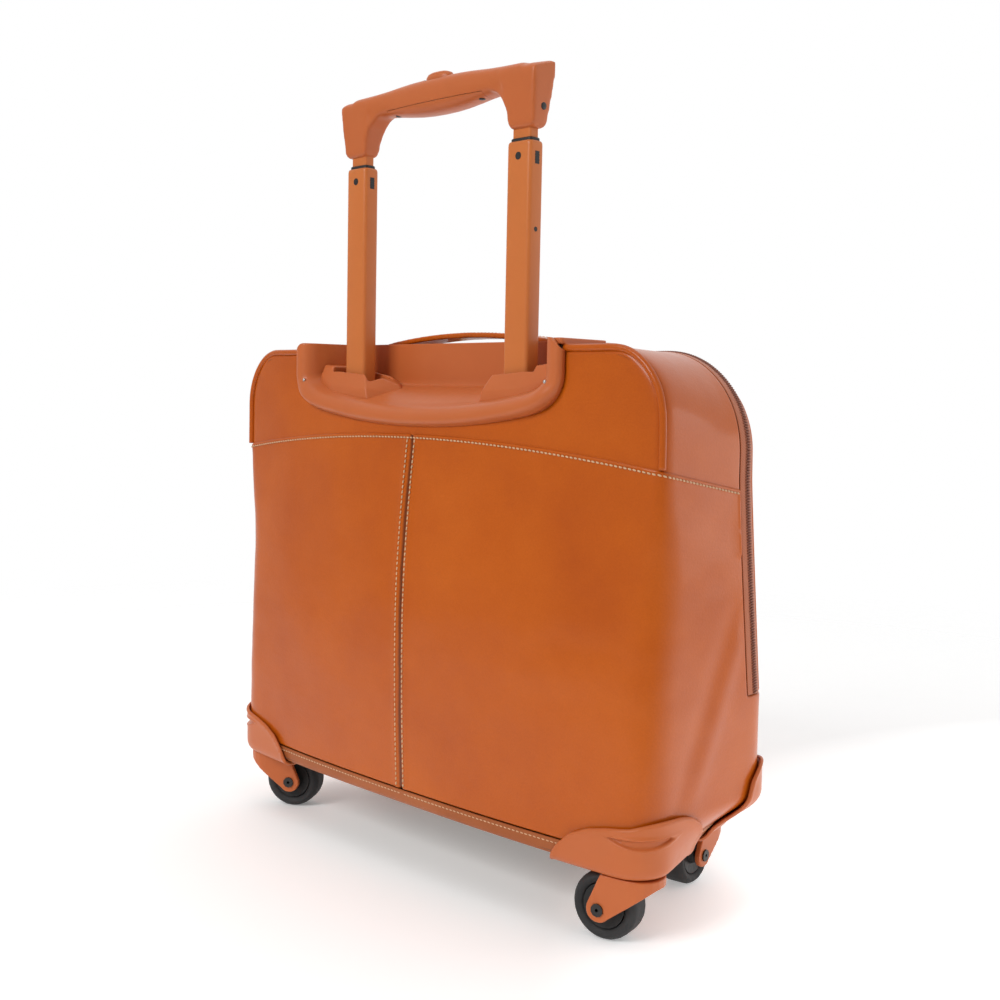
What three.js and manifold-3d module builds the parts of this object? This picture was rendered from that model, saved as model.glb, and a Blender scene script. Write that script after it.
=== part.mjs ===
// Rolling laptop case: a leather case body on four swivel casters, with a two-stage telescopic handle.
// Millimetres, +Z up. The front of the case faces -Y and the handle is at the back, +Y.
// Left is -X and right is +X. The origin is on the ground, under the middle of the case's outline.

import * as THREE from "three";
import { mergeVertices } from "three/addons/utils/BufferGeometryUtils.js";
import Module from "manifold-3d";

const wasm = await Module();
wasm.setup();

// ---------- driving dimensions ----------

const GAP = 0.3; // clearance between pieces that touch

// Case body. Depths run forwards from the plane of the back panel.
const BODY_BOTTOM = 50.5;
const BODY_TOP = 386;
const HALF_WIDTH_BACK = 219;
const HALF_WIDTH_ZIP = 220;
const SIDE_SWELL = 1.5; // the sides stand this much wider at mid height
const BACK_CORNER = 44; // top corner radius of the back panel, seen from behind
const ZIP_CORNER = 68; // top corner radius at the zip line
const BACK_EDGE = 9; // edge radius between the back panel and the gusset
const BOOT_EDGE = 22; // softer edge radius of the lower boot
const BACK_BULGE = 13; // how far the padded lower back stands out
const BACK_EASE = 7; // the upper corners of the back ease forwards by this much
const BACK_SEAM = 13; // depth of the seam between back panel and gusset
const ZIP_DEPTH = 99;
const ZIP_LEAN = 18; // the zip line leans forwards by this much at its lower end
const ZIP_LEAN_TOP = 300;
const ZIP_END = 153; // height of the zip's lower ends and of the lid's crease
const FRONT_CORNER = 150; // half width of the rounded front corner
const FRONT_CORNER_BASE = 80; // tighter at the base, where the casters need room
const FRONT_DEPTH_BASE = 178;
const FRONT_DEPTH_TOP = 149;
const TOE_IN = 31; // each lower front edge draws in by this much
const TOE_TOP = 84; // up to this height
const LEATHER = 5; // wall of leather over board
const STITCH_SIDE = 308; // top edge of the boot at the back corners
const STITCH_MIDDLE = 324; // and at the centre of the back
const STITCH_DROP = 17; // fall of that edge along the side to the zip
const STRIP_TOP = 62;
const BOARD_TOP = 58.5;

const GUARD_WALL = 3;
const BACK_Y = (FRONT_DEPTH_BASE + GAP + GUARD_WALL - BACK_BULGE) / 2;

// Zip
const ZIP_BAND = 8.5; // visible width of each tape
const ZIP_THICK = 3;
const POCKET_SKIN = 3; // the front pocket stands this far out of the lid
const POCKET_ZIP = 2.4;

// Telescopic handle
const TUBE_X = 86;
const TUBE_DEPTH = 19.5;
const STAGE1 = { w: 22.4, d: 13.6, wall: 1.3, top: 524, length: 262 };
const STAGE2 = { w: 16.6, d: 8.4, wall: 1, top: 558, bottom: 269 };
const HOUSING = { w: 27.2, d: 18.4, wall: 1.3, top: 333.5, bottom: 62.6 };
const TUBE_EDGE = 2.4;

// Tray
const TRAY_TOP = 391;
const TRAY_OUT = 3; // its wings stand this far out of the back panel
const LIP_OUT = 7; // and its lower lip this far
const TRAY_DEPTH = 46;
const TRAY_WALL = 4;
const POCKET = { inner: 69, outer: 114, near: 8.8, far: 34, floor: 338 };

// Grip
const GRIP = { near: 10, far: 31.5, bottom: 533, end: 101.5, belly: 554.8, top: 579 };
const BUTTON_HALF = 13.5;

// Casters
const WHEEL_R = 23;
const WHEEL_HALF = 11;
const TRAIL = 21;
const FORK_TOP = 46.6;
const CASTERS = [
  { name: "back_left", x: -200, depth: 21, rest: 12 },
  { name: "back_right", x: 200, depth: 21, rest: 212 },
  { name: "front_left", x: -151, depth: 153, rest: 98 },
  { name: "front_right", x: 151, depth: 153, rest: 75 },
];

const FAR = 600; // larger than the case in any direction

// ---------- materials ----------

const material = (color, roughness, metalness = 0) =>
  new THREE.MeshStandardMaterial({ color, roughness, metalness });
const leather = material(0xc25e1c, 0.38);
const leatherTrim = material(0xb0703f, 0.45);
const plastic = material(0xc76f42, 0.45);
const paintedTube = material(0xcb7a43, 0.4, 0.25);
const blackPlastic = material(0x1f1e1e, 0.5);
const rubber = material(0x2d2d2e, 0.75);
const steel = material(0x9a9a98, 0.35, 1);
const zipTape = material(0xa85a33, 0.8);
const brass = material(0xb58a4a, 0.35, 1);
const board = material(0x6b5a48, 0.8);
const lining = material(0x5a4636, 0.9);

// ---------- solid helpers ----------

// A closed geometry as a solid that can be joined and cut.
function solid(geometry) {
  const bare = geometry.index ? geometry.toNonIndexed() : geometry.clone();
  for (const name of Object.keys(bare.attributes)) {
    if (name !== "position") bare.deleteAttribute(name);
  }
  const merged = mergeVertices(bare, 1e-4);
  return new wasm.Manifold(
    new wasm.Mesh({
      numProp: 3,
      vertProperties: merged.attributes.position.array,
      triVerts: new Uint32Array(merged.index.array),
    }),
  );
}

// A solid as a named mesh.
function piece(name, shape, surface) {
  const made = shape.getMesh();
  const geometry = new THREE.BufferGeometry();
  geometry.setAttribute("position", new THREE.BufferAttribute(new Float32Array(made.vertProperties), 3));
  geometry.setIndex(new THREE.BufferAttribute(new Uint32Array(made.triVerts), 1));
  geometry.computeVertexNormals();
  const mesh = new THREE.Mesh(geometry, surface);
  mesh.name = name;
  return mesh;
}

const shapeOf = (points) => new THREE.Shape(points.map(([a, b]) => new THREE.Vector2(a, b)));
const depthY = (depth) => BACK_Y - depth;

// An outline in plan, raised from one height to another.
function planPrism(shape, low, high, bevel = 0, curveSegments = 4) {
  const geometry = new THREE.ExtrudeGeometry(shape, {
    depth: high - low - 2 * bevel,
    bevelEnabled: bevel > 0,
    bevelSize: bevel,
    bevelThickness: bevel,
    bevelSegments: 1,
    bevelOffset: -bevel,
    curveSegments,
  });
  geometry.translate(0, 0, low + bevel);
  return solid(geometry);
}

// An outline seen from the front (x, z), between two depths.
function frontPrism(shape, near, far, bevel = 0, curveSegments = 4) {
  const geometry = new THREE.ExtrudeGeometry(shape, {
    depth: far - near - 2 * bevel,
    bevelEnabled: bevel > 0,
    bevelSize: bevel,
    bevelThickness: bevel,
    bevelSegments: 1,
    bevelOffset: -bevel,
    curveSegments,
  });
  geometry.rotateX(Math.PI / 2);
  geometry.translate(0, depthY(near) - bevel, 0);
  return solid(geometry);
}

// An outline seen from the side (depth, z), between two x.
function sidePrism(points, from, to) {
  const turned = points.map(([depth, z]) => [depthY(depth), z]);
  const geometry = new THREE.ExtrudeGeometry(shapeOf(turned), { depth: to - from, bevelEnabled: false });
  const basis = new THREE.Matrix4().makeBasis(
    new THREE.Vector3(0, 1, 0),
    new THREE.Vector3(0, 0, 1),
    new THREE.Vector3(1, 0, 0),
  );
  geometry.applyMatrix4(basis);
  geometry.translate(from, 0, 0);
  return solid(geometry);
}

// A box between two x, two depths and two heights.
function block(x0, x1, near, far, low, high) {
  const geometry = new THREE.BoxGeometry(x1 - x0, far - near, high - low);
  geometry.translate((x0 + x1) / 2, depthY((near + far) / 2), (low + high) / 2);
  return solid(geometry);
}

function roundedRect(cx, cy, w, h, r) {
  const shape = new THREE.Shape();
  const [x0, x1, y0, y1] = [cx - w / 2, cx + w / 2, cy - h / 2, cy + h / 2];
  shape.moveTo(x0 + r, y0);
  shape.lineTo(x1 - r, y0);
  shape.absarc(x1 - r, y0 + r, r, -Math.PI / 2, 0, false);
  shape.lineTo(x1, y1 - r);
  shape.absarc(x1 - r, y1 - r, r, 0, Math.PI / 2, false);
  shape.lineTo(x0 + r, y1);
  shape.absarc(x0 + r, y1 - r, r, Math.PI / 2, Math.PI, false);
  shape.lineTo(x0, y0 + r);
  shape.absarc(x0 + r, y0 + r, r, Math.PI, 1.5 * Math.PI, false);
  return shape;
}

// A round bar, its middle at a point, along one axis.
function rod(axis, radius, length, x, y, z, sides = 16) {
  const geometry = new THREE.CylinderGeometry(radius, radius, length, sides);
  if (axis === "x") geometry.rotateZ(Math.PI / 2);
  if (axis === "z") geometry.rotateX(Math.PI / 2);
  geometry.translate(x, y, z);
  return solid(geometry);
}

// ---------- the case's outer surface ----------

// The height shared by the rounded top corners: how far the outline has drawn in.
function cornerInset(z, radius, grow) {
  const r = radius + grow;
  const rise = Math.max(0, z - (BODY_TOP - radius));
  return r - Math.sqrt(Math.max(0, r * r - rise * rise));
}

const zipDepth = (z) => {
  const fall = Math.max(0, ZIP_LEAN_TOP - Math.max(z, ZIP_END)) / (ZIP_LEAN_TOP - ZIP_END);
  return ZIP_DEPTH + ZIP_LEAN * Math.pow(fall, 1.2);
};

const backBulge = (z) => {
  const peak = 180;
  if (z < peak) {
    const share = (z - BODY_BOTTOM) / (peak - BODY_BOTTOM);
    return BACK_BULGE * (0.7 + 0.3 * Math.sin((Math.PI / 2) * share));
  }
  return BACK_BULGE * Math.max(0, Math.cos((Math.PI / 2) * ((z - peak) / (350 - peak))));
};

// How far the back's edges ease forwards of its middle.
const backEase = (x, z) => {
  const height = THREE.MathUtils.smoothstep(z, 90, STITCH_SIDE);
  return BACK_EASE * height * Math.pow(Math.min(1, Math.abs(x) / HALF_WIDTH_BACK), 2.2);
};

const frontDepth = (z, grow) => {
  const share = (Math.min(z, BODY_TOP - ZIP_CORNER) - BODY_BOTTOM) / (BODY_TOP - ZIP_CORNER - BODY_BOTTOM);
  const flat = FRONT_DEPTH_BASE + (FRONT_DEPTH_TOP - FRONT_DEPTH_BASE) * share;
  const rise = Math.max(0, z - (BODY_TOP - ZIP_CORNER)) / (ZIP_CORNER + grow);
  const start = zipDepth(z);
  return start + (flat + grow - start) * Math.sqrt(Math.max(0, 1 - rise * rise));
};

// One at the base, fading to none where the toe-in ends.
const toeShare = (z) => 1 - THREE.MathUtils.smoothstep(z, BODY_BOTTOM, TOE_TOP);

// Half of the plan outline at one height, from the middle of the back to the middle of the front.
function halfOutline(z, grow) {
  const swell = SIDE_SWELL * Math.sin(Math.PI * Math.min(1, (z - BODY_BOTTOM) / (BODY_TOP - BODY_BOTTOM)));
  const wide = HALF_WIDTH_BACK + swell + grow - cornerInset(z, BACK_CORNER, grow);
  const zipWide = HALF_WIDTH_ZIP + swell + grow - cornerInset(z, ZIP_CORNER, grow) - TOE_IN * toeShare(z);
  const soft = THREE.MathUtils.smoothstep(STITCH_SIDE - z, 0, 90);
  const edge = BACK_EDGE + (BOOT_EDGE - BACK_EDGE) * soft + grow;
  const points = [];
  for (const share of [0, 0.35, 0.6, 0.8]) {
    const x = share * (wide - edge);
    const swellOut = backBulge(z) * (1 - Math.pow(share, 2.2));
    points.push([x, backEase(x, z) - grow - swellOut]);
  }
  for (let i = 0; i <= 3; i++) {
    const turn = (Math.PI / 2) * (i / 3);
    const x = wide - edge + edge * Math.sin(turn);
    points.push([x, backEase(x, z) + edge - grow - edge * Math.cos(turn)]);
  }
  const zip = zipDepth(z);
  points.push([(wide + zipWide) / 2, (edge + zip) / 2]);
  const front = frontDepth(z, grow);
  const corner = THREE.MathUtils.lerp(FRONT_CORNER, FRONT_CORNER_BASE, toeShare(z));
  const reach = Math.min(corner, zipWide - 20);
  for (let i = 0; i <= 6; i++) {
    const turn = (Math.PI / 2) * (i / 6);
    points.push([zipWide - reach + reach * Math.cos(turn), zip + (front - zip) * Math.sin(turn)]);
  }
  points.push([0, front]);
  return points;
}

function ring(z, grow) {
  const half = halfOutline(z, grow);
  const mirrored = half.slice(1, -1).reverse();
  const all = [...half.map(([x, d]) => [x, d]), ...mirrored.map(([x, d]) => [-x, d])];
  return all.map(([x, d]) => new THREE.Vector3(x, depthY(d), z));
}

// A closed body through a stack of outlines with equal numbers of points, anticlockwise or clockwise alike.
function loft(rings) {
  const count = rings[0].length;
  const points = rings.flat();
  const faces = [];
  for (let r = 0; r + 1 < rings.length; r++) {
    for (let i = 0; i < count; i++) {
      const j = (i + 1) % count;
      const [a, b] = [r * count + i, r * count + j];
      faces.push(a, a + count, b, b, a + count, b + count);
    }
  }
  for (const [r, turn] of [
    [0, true],
    [rings.length - 1, false],
  ]) {
    const middle = new THREE.Vector3();
    rings[r].forEach((p) => middle.addScaledVector(p, 1 / count));
    points.push(middle);
    const hub = points.length - 1;
    for (let i = 0; i < count; i++) {
      const [a, b] = [r * count + i, r * count + ((i + 1) % count)];
      if (turn) faces.push(hub, a, b);
      else faces.push(hub, b, a);
    }
  }
  const geometry = new THREE.BufferGeometry().setFromPoints(points);
  geometry.setIndex(faces);
  return solid(geometry);
}

// Heights of the case's outlines; every skin shares them, so that their facets follow each other.
const RING_HEIGHTS = [BODY_BOTTOM, BOARD_TOP, STRIP_TOP, 73, TOE_TOP, 115, ZIP_END].concat(
  [200, 250, 300, 330, 352, 368, 380],
);

// The whole case as one solid, grown or shrunk.
function caseSolid(grow, low = BODY_BOTTOM - grow, high = BODY_TOP + grow) {
  const heights = [low, ...RING_HEIGHTS.filter((z) => z > low && z < high), high];
  return loft(heights.map((z) => ring(z, grow)));
}

const outer = caseSolid(0);
const inner = caseSolid(-LEATHER);

// Everything behind the zip line, drawn back by a margin, or in front of it.
function zipSide(margin, front) {
  const line = [ZIP_END, 175, 200, 225, 250, 275, ZIP_LEAN_TOP, FAR].map((z) => [zipDepth(z) + margin, z]);
  const edge = front ? FAR : -FAR;
  return sidePrism([...line, [edge, FAR], [edge, ZIP_END]], -FAR, FAR);
}

// Everything under the boot's stitched top edge, raised by a margin.
function underStitch(margin) {
  const arch = new THREE.Shape();
  arch.moveTo(-FAR, 0);
  arch.lineTo(FAR, 0);
  arch.lineTo(FAR, STITCH_SIDE + margin);
  arch.lineTo(HALF_WIDTH_BACK, STITCH_SIDE + margin);
  const crown = 2 * STITCH_MIDDLE - STITCH_SIDE + margin;
  arch.quadraticCurveTo(0, crown, -HALF_WIDTH_BACK, STITCH_SIDE + margin);
  arch.lineTo(-FAR, STITCH_SIDE + margin);
  const back = frontPrism(arch, -40, BACK_EDGE, 0, 12);
  const slope = STITCH_DROP / ZIP_DEPTH;
  const side = sidePrism(
    [
      [BACK_EDGE, 0],
      [FAR, 0],
      [FAR, STITCH_SIDE - slope * ZIP_DEPTH + margin],
      [ZIP_DEPTH, STITCH_SIDE - slope * ZIP_DEPTH + margin],
      [BACK_EDGE, STITCH_SIDE + margin],
    ],
    -FAR,
    FAR,
  );
  return back.add(side);
}

// ---------- tray outlines, seen from behind ----------

function trayOutline(grow, top) {
  const shape = new THREE.Shape();
  shape.moveTo(140 + grow, top);
  shape.lineTo(140 + grow, 366);
  shape.quadraticCurveTo(138 + grow, 347 - grow, 112, 341 - grow);
  shape.quadraticCurveTo(60, 330 - grow, 0, 330 - grow);
  shape.quadraticCurveTo(-60, 330 - grow, -112, 341 - grow);
  shape.quadraticCurveTo(-138 - grow, 347 - grow, -140 - grow, 366);
  shape.lineTo(-140 - grow, top);
  return shape;
}

function recessOutline(inset) {
  const shape = new THREE.Shape();
  shape.moveTo(123 - inset, FAR);
  shape.lineTo(123 - inset, 374);
  shape.quadraticCurveTo(121 - inset, 356 + inset, 98, 349 + inset);
  shape.quadraticCurveTo(55, 336 + inset, 0, 336 + inset);
  shape.quadraticCurveTo(-55, 336 + inset, -98, 349 + inset);
  shape.quadraticCurveTo(-121 + inset, 356 + inset, -123 + inset, 374);
  shape.lineTo(-123 + inset, FAR);
  return shape;
}

// The hand recess: open at the back and the top, its floor rising forwards.
function recess(inset) {
  const front = frontPrism(recessOutline(inset), -40, TRAY_DEPTH - TRAY_WALL - inset, 0, 10);
  const floor = sidePrism(
    [
      [-40, 336 + inset],
      [0, 336 + inset],
      [TRAY_DEPTH - TRAY_WALL, 357 + inset],
      [FAR, 357 + inset],
      [FAR, FAR],
      [-40, FAR],
    ],
    -FAR,
    FAR,
  );
  return front.intersect(floor);
}

function trayEnvelope(grow) {
  return frontPrism(trayOutline(grow, TRAY_TOP), -TRAY_OUT, TRAY_DEPTH + grow, 0, 10);
}

// The lower lip stands out further than the wings.
function trayLip() {
  const inside = frontPrism(trayOutline(-3, TRAY_TOP), -LIP_OUT, 0, 2.5, 10);
  return inside.intersect(block(-112, 112, -LIP_OUT, 0, 320, 352));
}

function tubeHole(x, w, d, low, high, r = TUBE_EDGE) {
  return planPrism(roundedRect(x, depthY(TUBE_DEPTH), w, d, r), low, high, 0, 2);
}

const pocketOf = (side) => {
  const [a, b] = [side * POCKET.inner, side * POCKET.outer];
  return block(Math.min(a, b), Math.max(a, b), POCKET.near, POCKET.far, POCKET.floor, FAR);
};

function tray() {
  let made = trayEnvelope(0).add(trayLip()).subtract(recess(0));
  for (const side of [-1, 1]) {
    made = made.subtract(pocketOf(side));
    made = made.subtract(tubeHole(side * TUBE_X, STAGE1.w + 2, STAGE1.d + 2, 300, 345));
  }
  return made;
}

// A faceted collar round each pocket, standing on the floor of the recess.
function bezel(side) {
  const seat = recess(GAP);
  const outline = shapeOf([
    [side * 56, 330],
    [side * 56, 357],
    [side * 60, 361.5],
    [side * 68.5, 361.5],
    [side * 71, 367],
    [side * 124, 373],
    [side * 124, 330],
  ]);
  const slopes = sidePrism(
    [
      [3, 330],
      [3, 352],
      [POCKET.near - 1.5, 370],
      [POCKET.far + 2.5, 376],
      [POCKET.far + 2.5, 330],
    ],
    -FAR,
    FAR,
  );
  return seat
    .intersect(frontPrism(outline, 0, 60))
    .intersect(slopes)
    .subtract(pocketOf(side));
}

// ---------- case body pieces ----------

function bodyPieces() {
  const shell = outer.subtract(inner);
  const behindZip = zipSide(-ZIP_BAND - GAP, false).add(block(-FAR, FAR, -FAR, FAR, 0, ZIP_END));
  const body = shell.intersect(behindZip).subtract(trayEnvelope(GAP));
  const aboveStitch = body.subtract(underStitch(GAP));
  const backSlab = block(-FAR, FAR, -40, BACK_SEAM, 0, FAR);
  const forward = block(-FAR, FAR, BACK_SEAM + GAP, FAR, 0, FAR);
  const backPanel = aboveStitch.intersect(backSlab);
  const gusset = aboveStitch.intersect(forward);

  const bootRange = block(-FAR, FAR, -FAR, FAR, STRIP_TOP + GAP, FAR);
  const boot = body.intersect(underStitch(0)).intersect(bootRange);

  const strip = caseSolid(0, BODY_BOTTOM, STRIP_TOP).subtract(caseSolid(-LEATHER, 0, 100));
  let floor = caseSolid(-LEATHER - GAP, BODY_BOTTOM, BOARD_TOP);
  for (const caster of CASTERS) {
    floor = floor.subtract(rod("z", 4.6, 60, caster.x, depthY(caster.depth), BODY_BOTTOM));
  }
  return [
    piece("back_panel", backPanel, leather),
    piece("side_gusset", gusset, leather),
    piece("lower_boot", boot, leather),
    piece("bottom_strip", strip, leatherTrim),
    piece("base_board", floor, board),
  ];
}

// A round cord sewn along the edge of the back panel, ending where it meets the boot and the tray.
function piping() {
  const radius = 1.8;
  const out = radius + GAP + 0.4;
  const runs = [];
  for (const side of [-1, 1]) {
    const path = new THREE.CurvePath();
    const at = (x, z) => new THREE.Vector3(side * x, depthY(backEase(x, z) + radius - out), z);
    const cornerX = HALF_WIDTH_BACK - BACK_CORNER;
    const cornerZ = BODY_TOP - BACK_CORNER;
    const reach = BACK_CORNER - 2;
    const bend = [];
    for (let i = 0; i <= 8; i++) {
      const turn = (Math.PI / 2) * (i / 8);
      bend.push(at(cornerX + reach * Math.cos(turn), cornerZ + reach * Math.sin(turn)));
    }
    const points = [at(HALF_WIDTH_BACK - 2, STITCH_SIDE + 2.5), ...bend, at(145, BODY_TOP - 2)];
    path.add(new THREE.CatmullRomCurve3(points, false, "centripetal"));
    const section = new THREE.Shape().absarc(0, 0, radius, 0, 2 * Math.PI, false);
    const geometry = new THREE.ExtrudeGeometry(section, {
      steps: 16,
      bevelEnabled: false,
      extrudePath: path.curves[0],
      curveSegments: 3,
    });
    const name = side < 0 ? "back_piping_left" : "back_piping_right";
    const made = solid(geometry).subtract(caseSolid(GAP));
    runs.push(piece(name, made, leatherTrim));
  }
  return runs;
}

// ---------- zip and lid ----------

function zipPieces() {
  const band = caseSolid(-1).subtract(caseSolid(-1 - ZIP_THICK));
  const bodyTape = band.intersect(zipSide(-GAP / 2, false)).intersect(zipSide(-ZIP_BAND, true));
  const lidTape = band.intersect(zipSide(GAP / 2, true)).intersect(zipSide(ZIP_BAND, false));
  return { bodyTape, lidTape };
}

function lidPieces(lidTape) {
  const aboveCrease = block(-FAR, FAR, -FAR, FAR, ZIP_END + 2 * GAP, FAR);
  const lidRegion = zipSide(ZIP_BAND + GAP, true).intersect(aboveCrease);
  const lid = outer.subtract(inner).intersect(lidRegion);
  const skin = caseSolid(GAP + POCKET_SKIN).subtract(caseSolid(GAP));
  const pocketFace = skin.intersect(frontPrism(roundedRect(0, 242, 270, 136, 22), 120, 200));
  const zipBar = caseSolid(GAP + POCKET_ZIP).subtract(caseSolid(GAP)).intersect(
    frontPrism(roundedRect(0, 316, 262, 9, 2), 120, 200),
  );
  return [
    piece("front_lid", lid, leather),
    piece("zip_tape_lid", lidTape, zipTape),
    piece("front_pocket", pocketFace, leather),
    piece("pocket_zip", zipBar, zipTape),
  ];
}

// A zip slider with a saddle over the coil, standing on the top of the tapes.
function mainSlider() {
  const top = BODY_TOP - 1 + GAP;
  const saddleFace = roundedRect(60, top + 2.25, 15, 4.5, 1.4);
  const saddle = frontPrism(saddleFace, ZIP_DEPTH - 5, ZIP_DEPTH + 5, 1, 3);
  const bridgeFace = roundedRect(60, top + 5.6, 8, 2.6, 1.1);
  const bridge = frontPrism(bridgeFace, ZIP_DEPTH - 1.5, ZIP_DEPTH + 1.5, 0, 3);
  const eye = rod("y", 0.9, 8, 60, depthY(ZIP_DEPTH), top + 5.7, 8);
  return saddle.add(bridge).subtract(eye);
}

// The pull lies along the tape and swings over on the slider's bridge.
function mainPull() {
  const z = BODY_TOP - 1 + GAP + 5.7;
  const outline = roundedRect(74.4, depthY(ZIP_DEPTH), 30.4, 8, 1.2);
  const plate = planPrism(outline, z - 0.7, z + 0.7);
  const slot = planPrism(roundedRect(61, depthY(ZIP_DEPTH), 22, 4, 0.8), z - 5, z + 5, 0, 2);
  const pin = rod("y", 0.6, 6, 60, depthY(ZIP_DEPTH), z, 8);
  return plate.subtract(slot).add(pin);
}

function pocketSlider() {
  const onZip = frontDepth(311, 0) + POCKET_ZIP + 2 * GAP;
  const onPocket = frontDepth(293, 0) + POCKET_SKIN + 2 * GAP;
  const saddle = frontPrism(roundedRect(-100, 316, 12, 9, 2), onZip, onPocket + 1.6, 0, 2);
  const tab = frontPrism(roundedRect(-100, 303, 7, 20, 2.5), onPocket, onPocket + 1.6, 0, 2);
  return saddle.add(tab);
}

// ---------- corner guards ----------

// Moulded shells round the four bottom corners. The top edge dips, then sweeps up round the corner.
function cornerGuard(caster) {
  const skin = caseSolid(GAP + GUARD_WALL).subtract(caseSolid(GAP));
  const side = Math.sign(caster.x);
  const isBack = caster.depth < 80;
  const reach = isBack ? 138 : 96;
  const peak = isBack ? 87 : 92;
  const face = new THREE.Shape();
  face.moveTo(side * reach, 40);
  face.bezierCurveTo(side * (reach + 20), 58, side * (reach + 22), 74, side * (reach + 52), 79);
  face.quadraticCurveTo(side * (reach + 68), 82, side * HALF_WIDTH_BACK, peak);
  face.lineTo(side * FAR, isBack ? peak : 130);
  face.lineTo(side * FAR, 40);
  const backEdge = [[-40, 40], [-40, 130], [17, 88], [34, 87], [47, 83]].concat(
    [[58, 77], [66, 69], [66, 60], [60, 50], [56, 40]],
  );
  const frontEdge = [[94, 40], [99, 55], [105, 66], [108, 76], [115, 94], [124, 102]].concat(
    [[134, 106], [150, 101], [166, 94], [210, 90], [210, 40]],
  );
  const edges = sidePrism(isBack ? backEdge : frontEdge, -FAR, FAR);
  const hole = rod("z", 4.6, 60, caster.x, depthY(caster.depth), BODY_BOTTOM);
  return skin.intersect(frontPrism(face, -40, 200, 0, 8)).intersect(edges).subtract(hole);
}

// ---------- casters ----------

// Each caster is drawn trailing along +X from its swivel axis, then turned to its resting direction.
function casterPieces(caster) {
  const lathed = (profile, sides) => {
    const geometry = new THREE.LatheGeometry(
      profile.map(([r, h]) => new THREE.Vector2(r, h)),
      sides,
    );
    geometry.translate(TRAIL, 0, WHEEL_R);
    return solid(geometry);
  };
  // Lathe axes are Y, which is the wheel's axle here.
  const tyre = lathed(
    [
      [15.3, -9],
      [20, -WHEEL_HALF],
      [WHEEL_R, -7],
      [WHEEL_R, 7],
      [20, WHEEL_HALF],
      [15.3, 9],
      [15.3, -9],
    ],
    24,
  );
  const hub = lathed(
    [
      [2.8, -11.2],
      [6.5, -11.2],
      [8, -7.4],
      [15, -8.8],
      [15, 8.8],
      [8, 7.4],
      [6.5, 11.2],
      [2.8, 11.2],
      [2.8, -11.2],
    ],
    18,
  );
  const axle = lathed(
    [
      [1.2, -18.6],
      [4.4, -18.6],
      [4.4, -17.7],
      [2.4, -17.7],
      [2.4, 17.7],
      [4.4, 17.7],
      [4.4, 18.6],
      [1.2, 18.6],
      [1.2, -18.6],
    ],
    10,
  );

  const legHalf = 17.4;
  const legWall = 4;
  const leg = new THREE.Shape();
  leg.moveTo(-16, FORK_TOP);
  leg.lineTo(TRAIL - 1, FORK_TOP);
  leg.lineTo(TRAIL + 8.4, WHEEL_R + 2);
  leg.absarc(TRAIL, WHEEL_R, 8.6, 0.2, -2.45, true);
  leg.lineTo(-16, FORK_TOP - 6);
  const across = { depth: 2 * legHalf, bevelEnabled: false, curveSegments: 5 };
  const legs = new THREE.ExtrudeGeometry(leg, across);
  legs.rotateX(Math.PI / 2);
  legs.translate(0, legHalf, 0);
  const plate = rod("z", 17.4, 6, 0, 0, FORK_TOP - 3, 20);
  const tail = solid(new THREE.BoxGeometry(60, 2 * legHalf, 80).translate(30, 0, 20));
  const roundPlan = rod("z", 17.4, 80, 0, 0, 20, 20).add(tail);
  const wheelRoom = rod("y", WHEEL_R + 1.3, 2 * (legHalf - legWall), TRAIL, 0, WHEEL_R, 24);
  const underPlate = solid(
    new THREE.BoxGeometry(60, 2 * (legHalf - legWall), 60).translate(TRAIL, 0, FORK_TOP - 6 - 30),
  );
  const kingpin = rod("z", 4, 14, 0, 0, FORK_TOP + 6, 10).add(
    rod("z", 5.6, 2.4, 0, 0, BOARD_TOP + GAP + 1.2, 10),
  );
  const fork = solid(legs)
    .intersect(roundPlan)
    .add(plate)
    .subtract(wheelRoom)
    .subtract(underPlate)
    .subtract(rod("y", 2.7, 80, TRAIL, 0, WHEEL_R, 10))
    .add(kingpin);

  const group = new THREE.Group();
  group.position.set(caster.x, depthY(caster.depth), 0);
  group.rotation.z = THREE.MathUtils.degToRad(caster.rest);
  group.add(
    piece(`caster_fork_${caster.name}`, fork, plastic),
    piece(`caster_tyre_${caster.name}`, tyre, rubber),
    piece(`caster_hub_${caster.name}`, hub, blackPlastic),
    piece(`caster_axle_${caster.name}`, axle, steel),
  );
  return group;
}

// ---------- telescopic handle ----------

function tube(x, w, d, wall, low, high, r = TUBE_EDGE) {
  return tubeHole(x, w, d, low, high, r).subtract(
    tubeHole(x, w - 2 * wall, d - 2 * wall, low - 1, high + 1, Math.max(0.6, r - wall)),
  );
}

function housings() {
  return [-1, 1].map((side) => {
    const made = tube(side * TUBE_X, HOUSING.w, HOUSING.d, HOUSING.wall, HOUSING.bottom, HOUSING.top);
    return piece(`handle_housing_${side < 0 ? "left" : "right"}`, made, steel);
  });
}

// One foot holds both housings on the base board.
function housingFoot() {
  const low = BOARD_TOP + GAP;
  let made = block(-TUBE_X - 22, TUBE_X + 22, 7, 31, low, low + 3.4);
  for (const side of [-1, 1]) {
    const collar = tube(side * TUBE_X, HOUSING.w + 5, HOUSING.d + 4, 2 - GAP, low + 1, low + 26, 3);
    made = made.add(collar);
  }
  return piece("housing_foot", made, steel);
}

const BUSH = { lug: 514, dotR: 2.7, window: [8.4, 4.2], plug: 20 };

// Round lug in the back face and rectangular lugs in both sides hold the collar in the tube.
function lugs(x, gap) {
  const y = depthY(TUBE_DEPTH);
  const [tall, deep] = BUSH.window;
  const bar = new THREE.BoxGeometry(STAGE1.w - 2 * gap, deep - 2 * gap, tall - 2 * gap);
  const wide = solid(bar.translate(x, y, BUSH.lug - 2));
  const dot = rod("y", BUSH.dotR - gap, STAGE1.d / 2 - gap * 0.4, x, y + STAGE1.d / 4, BUSH.lug, 16);
  return wide.add(dot);
}

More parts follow.
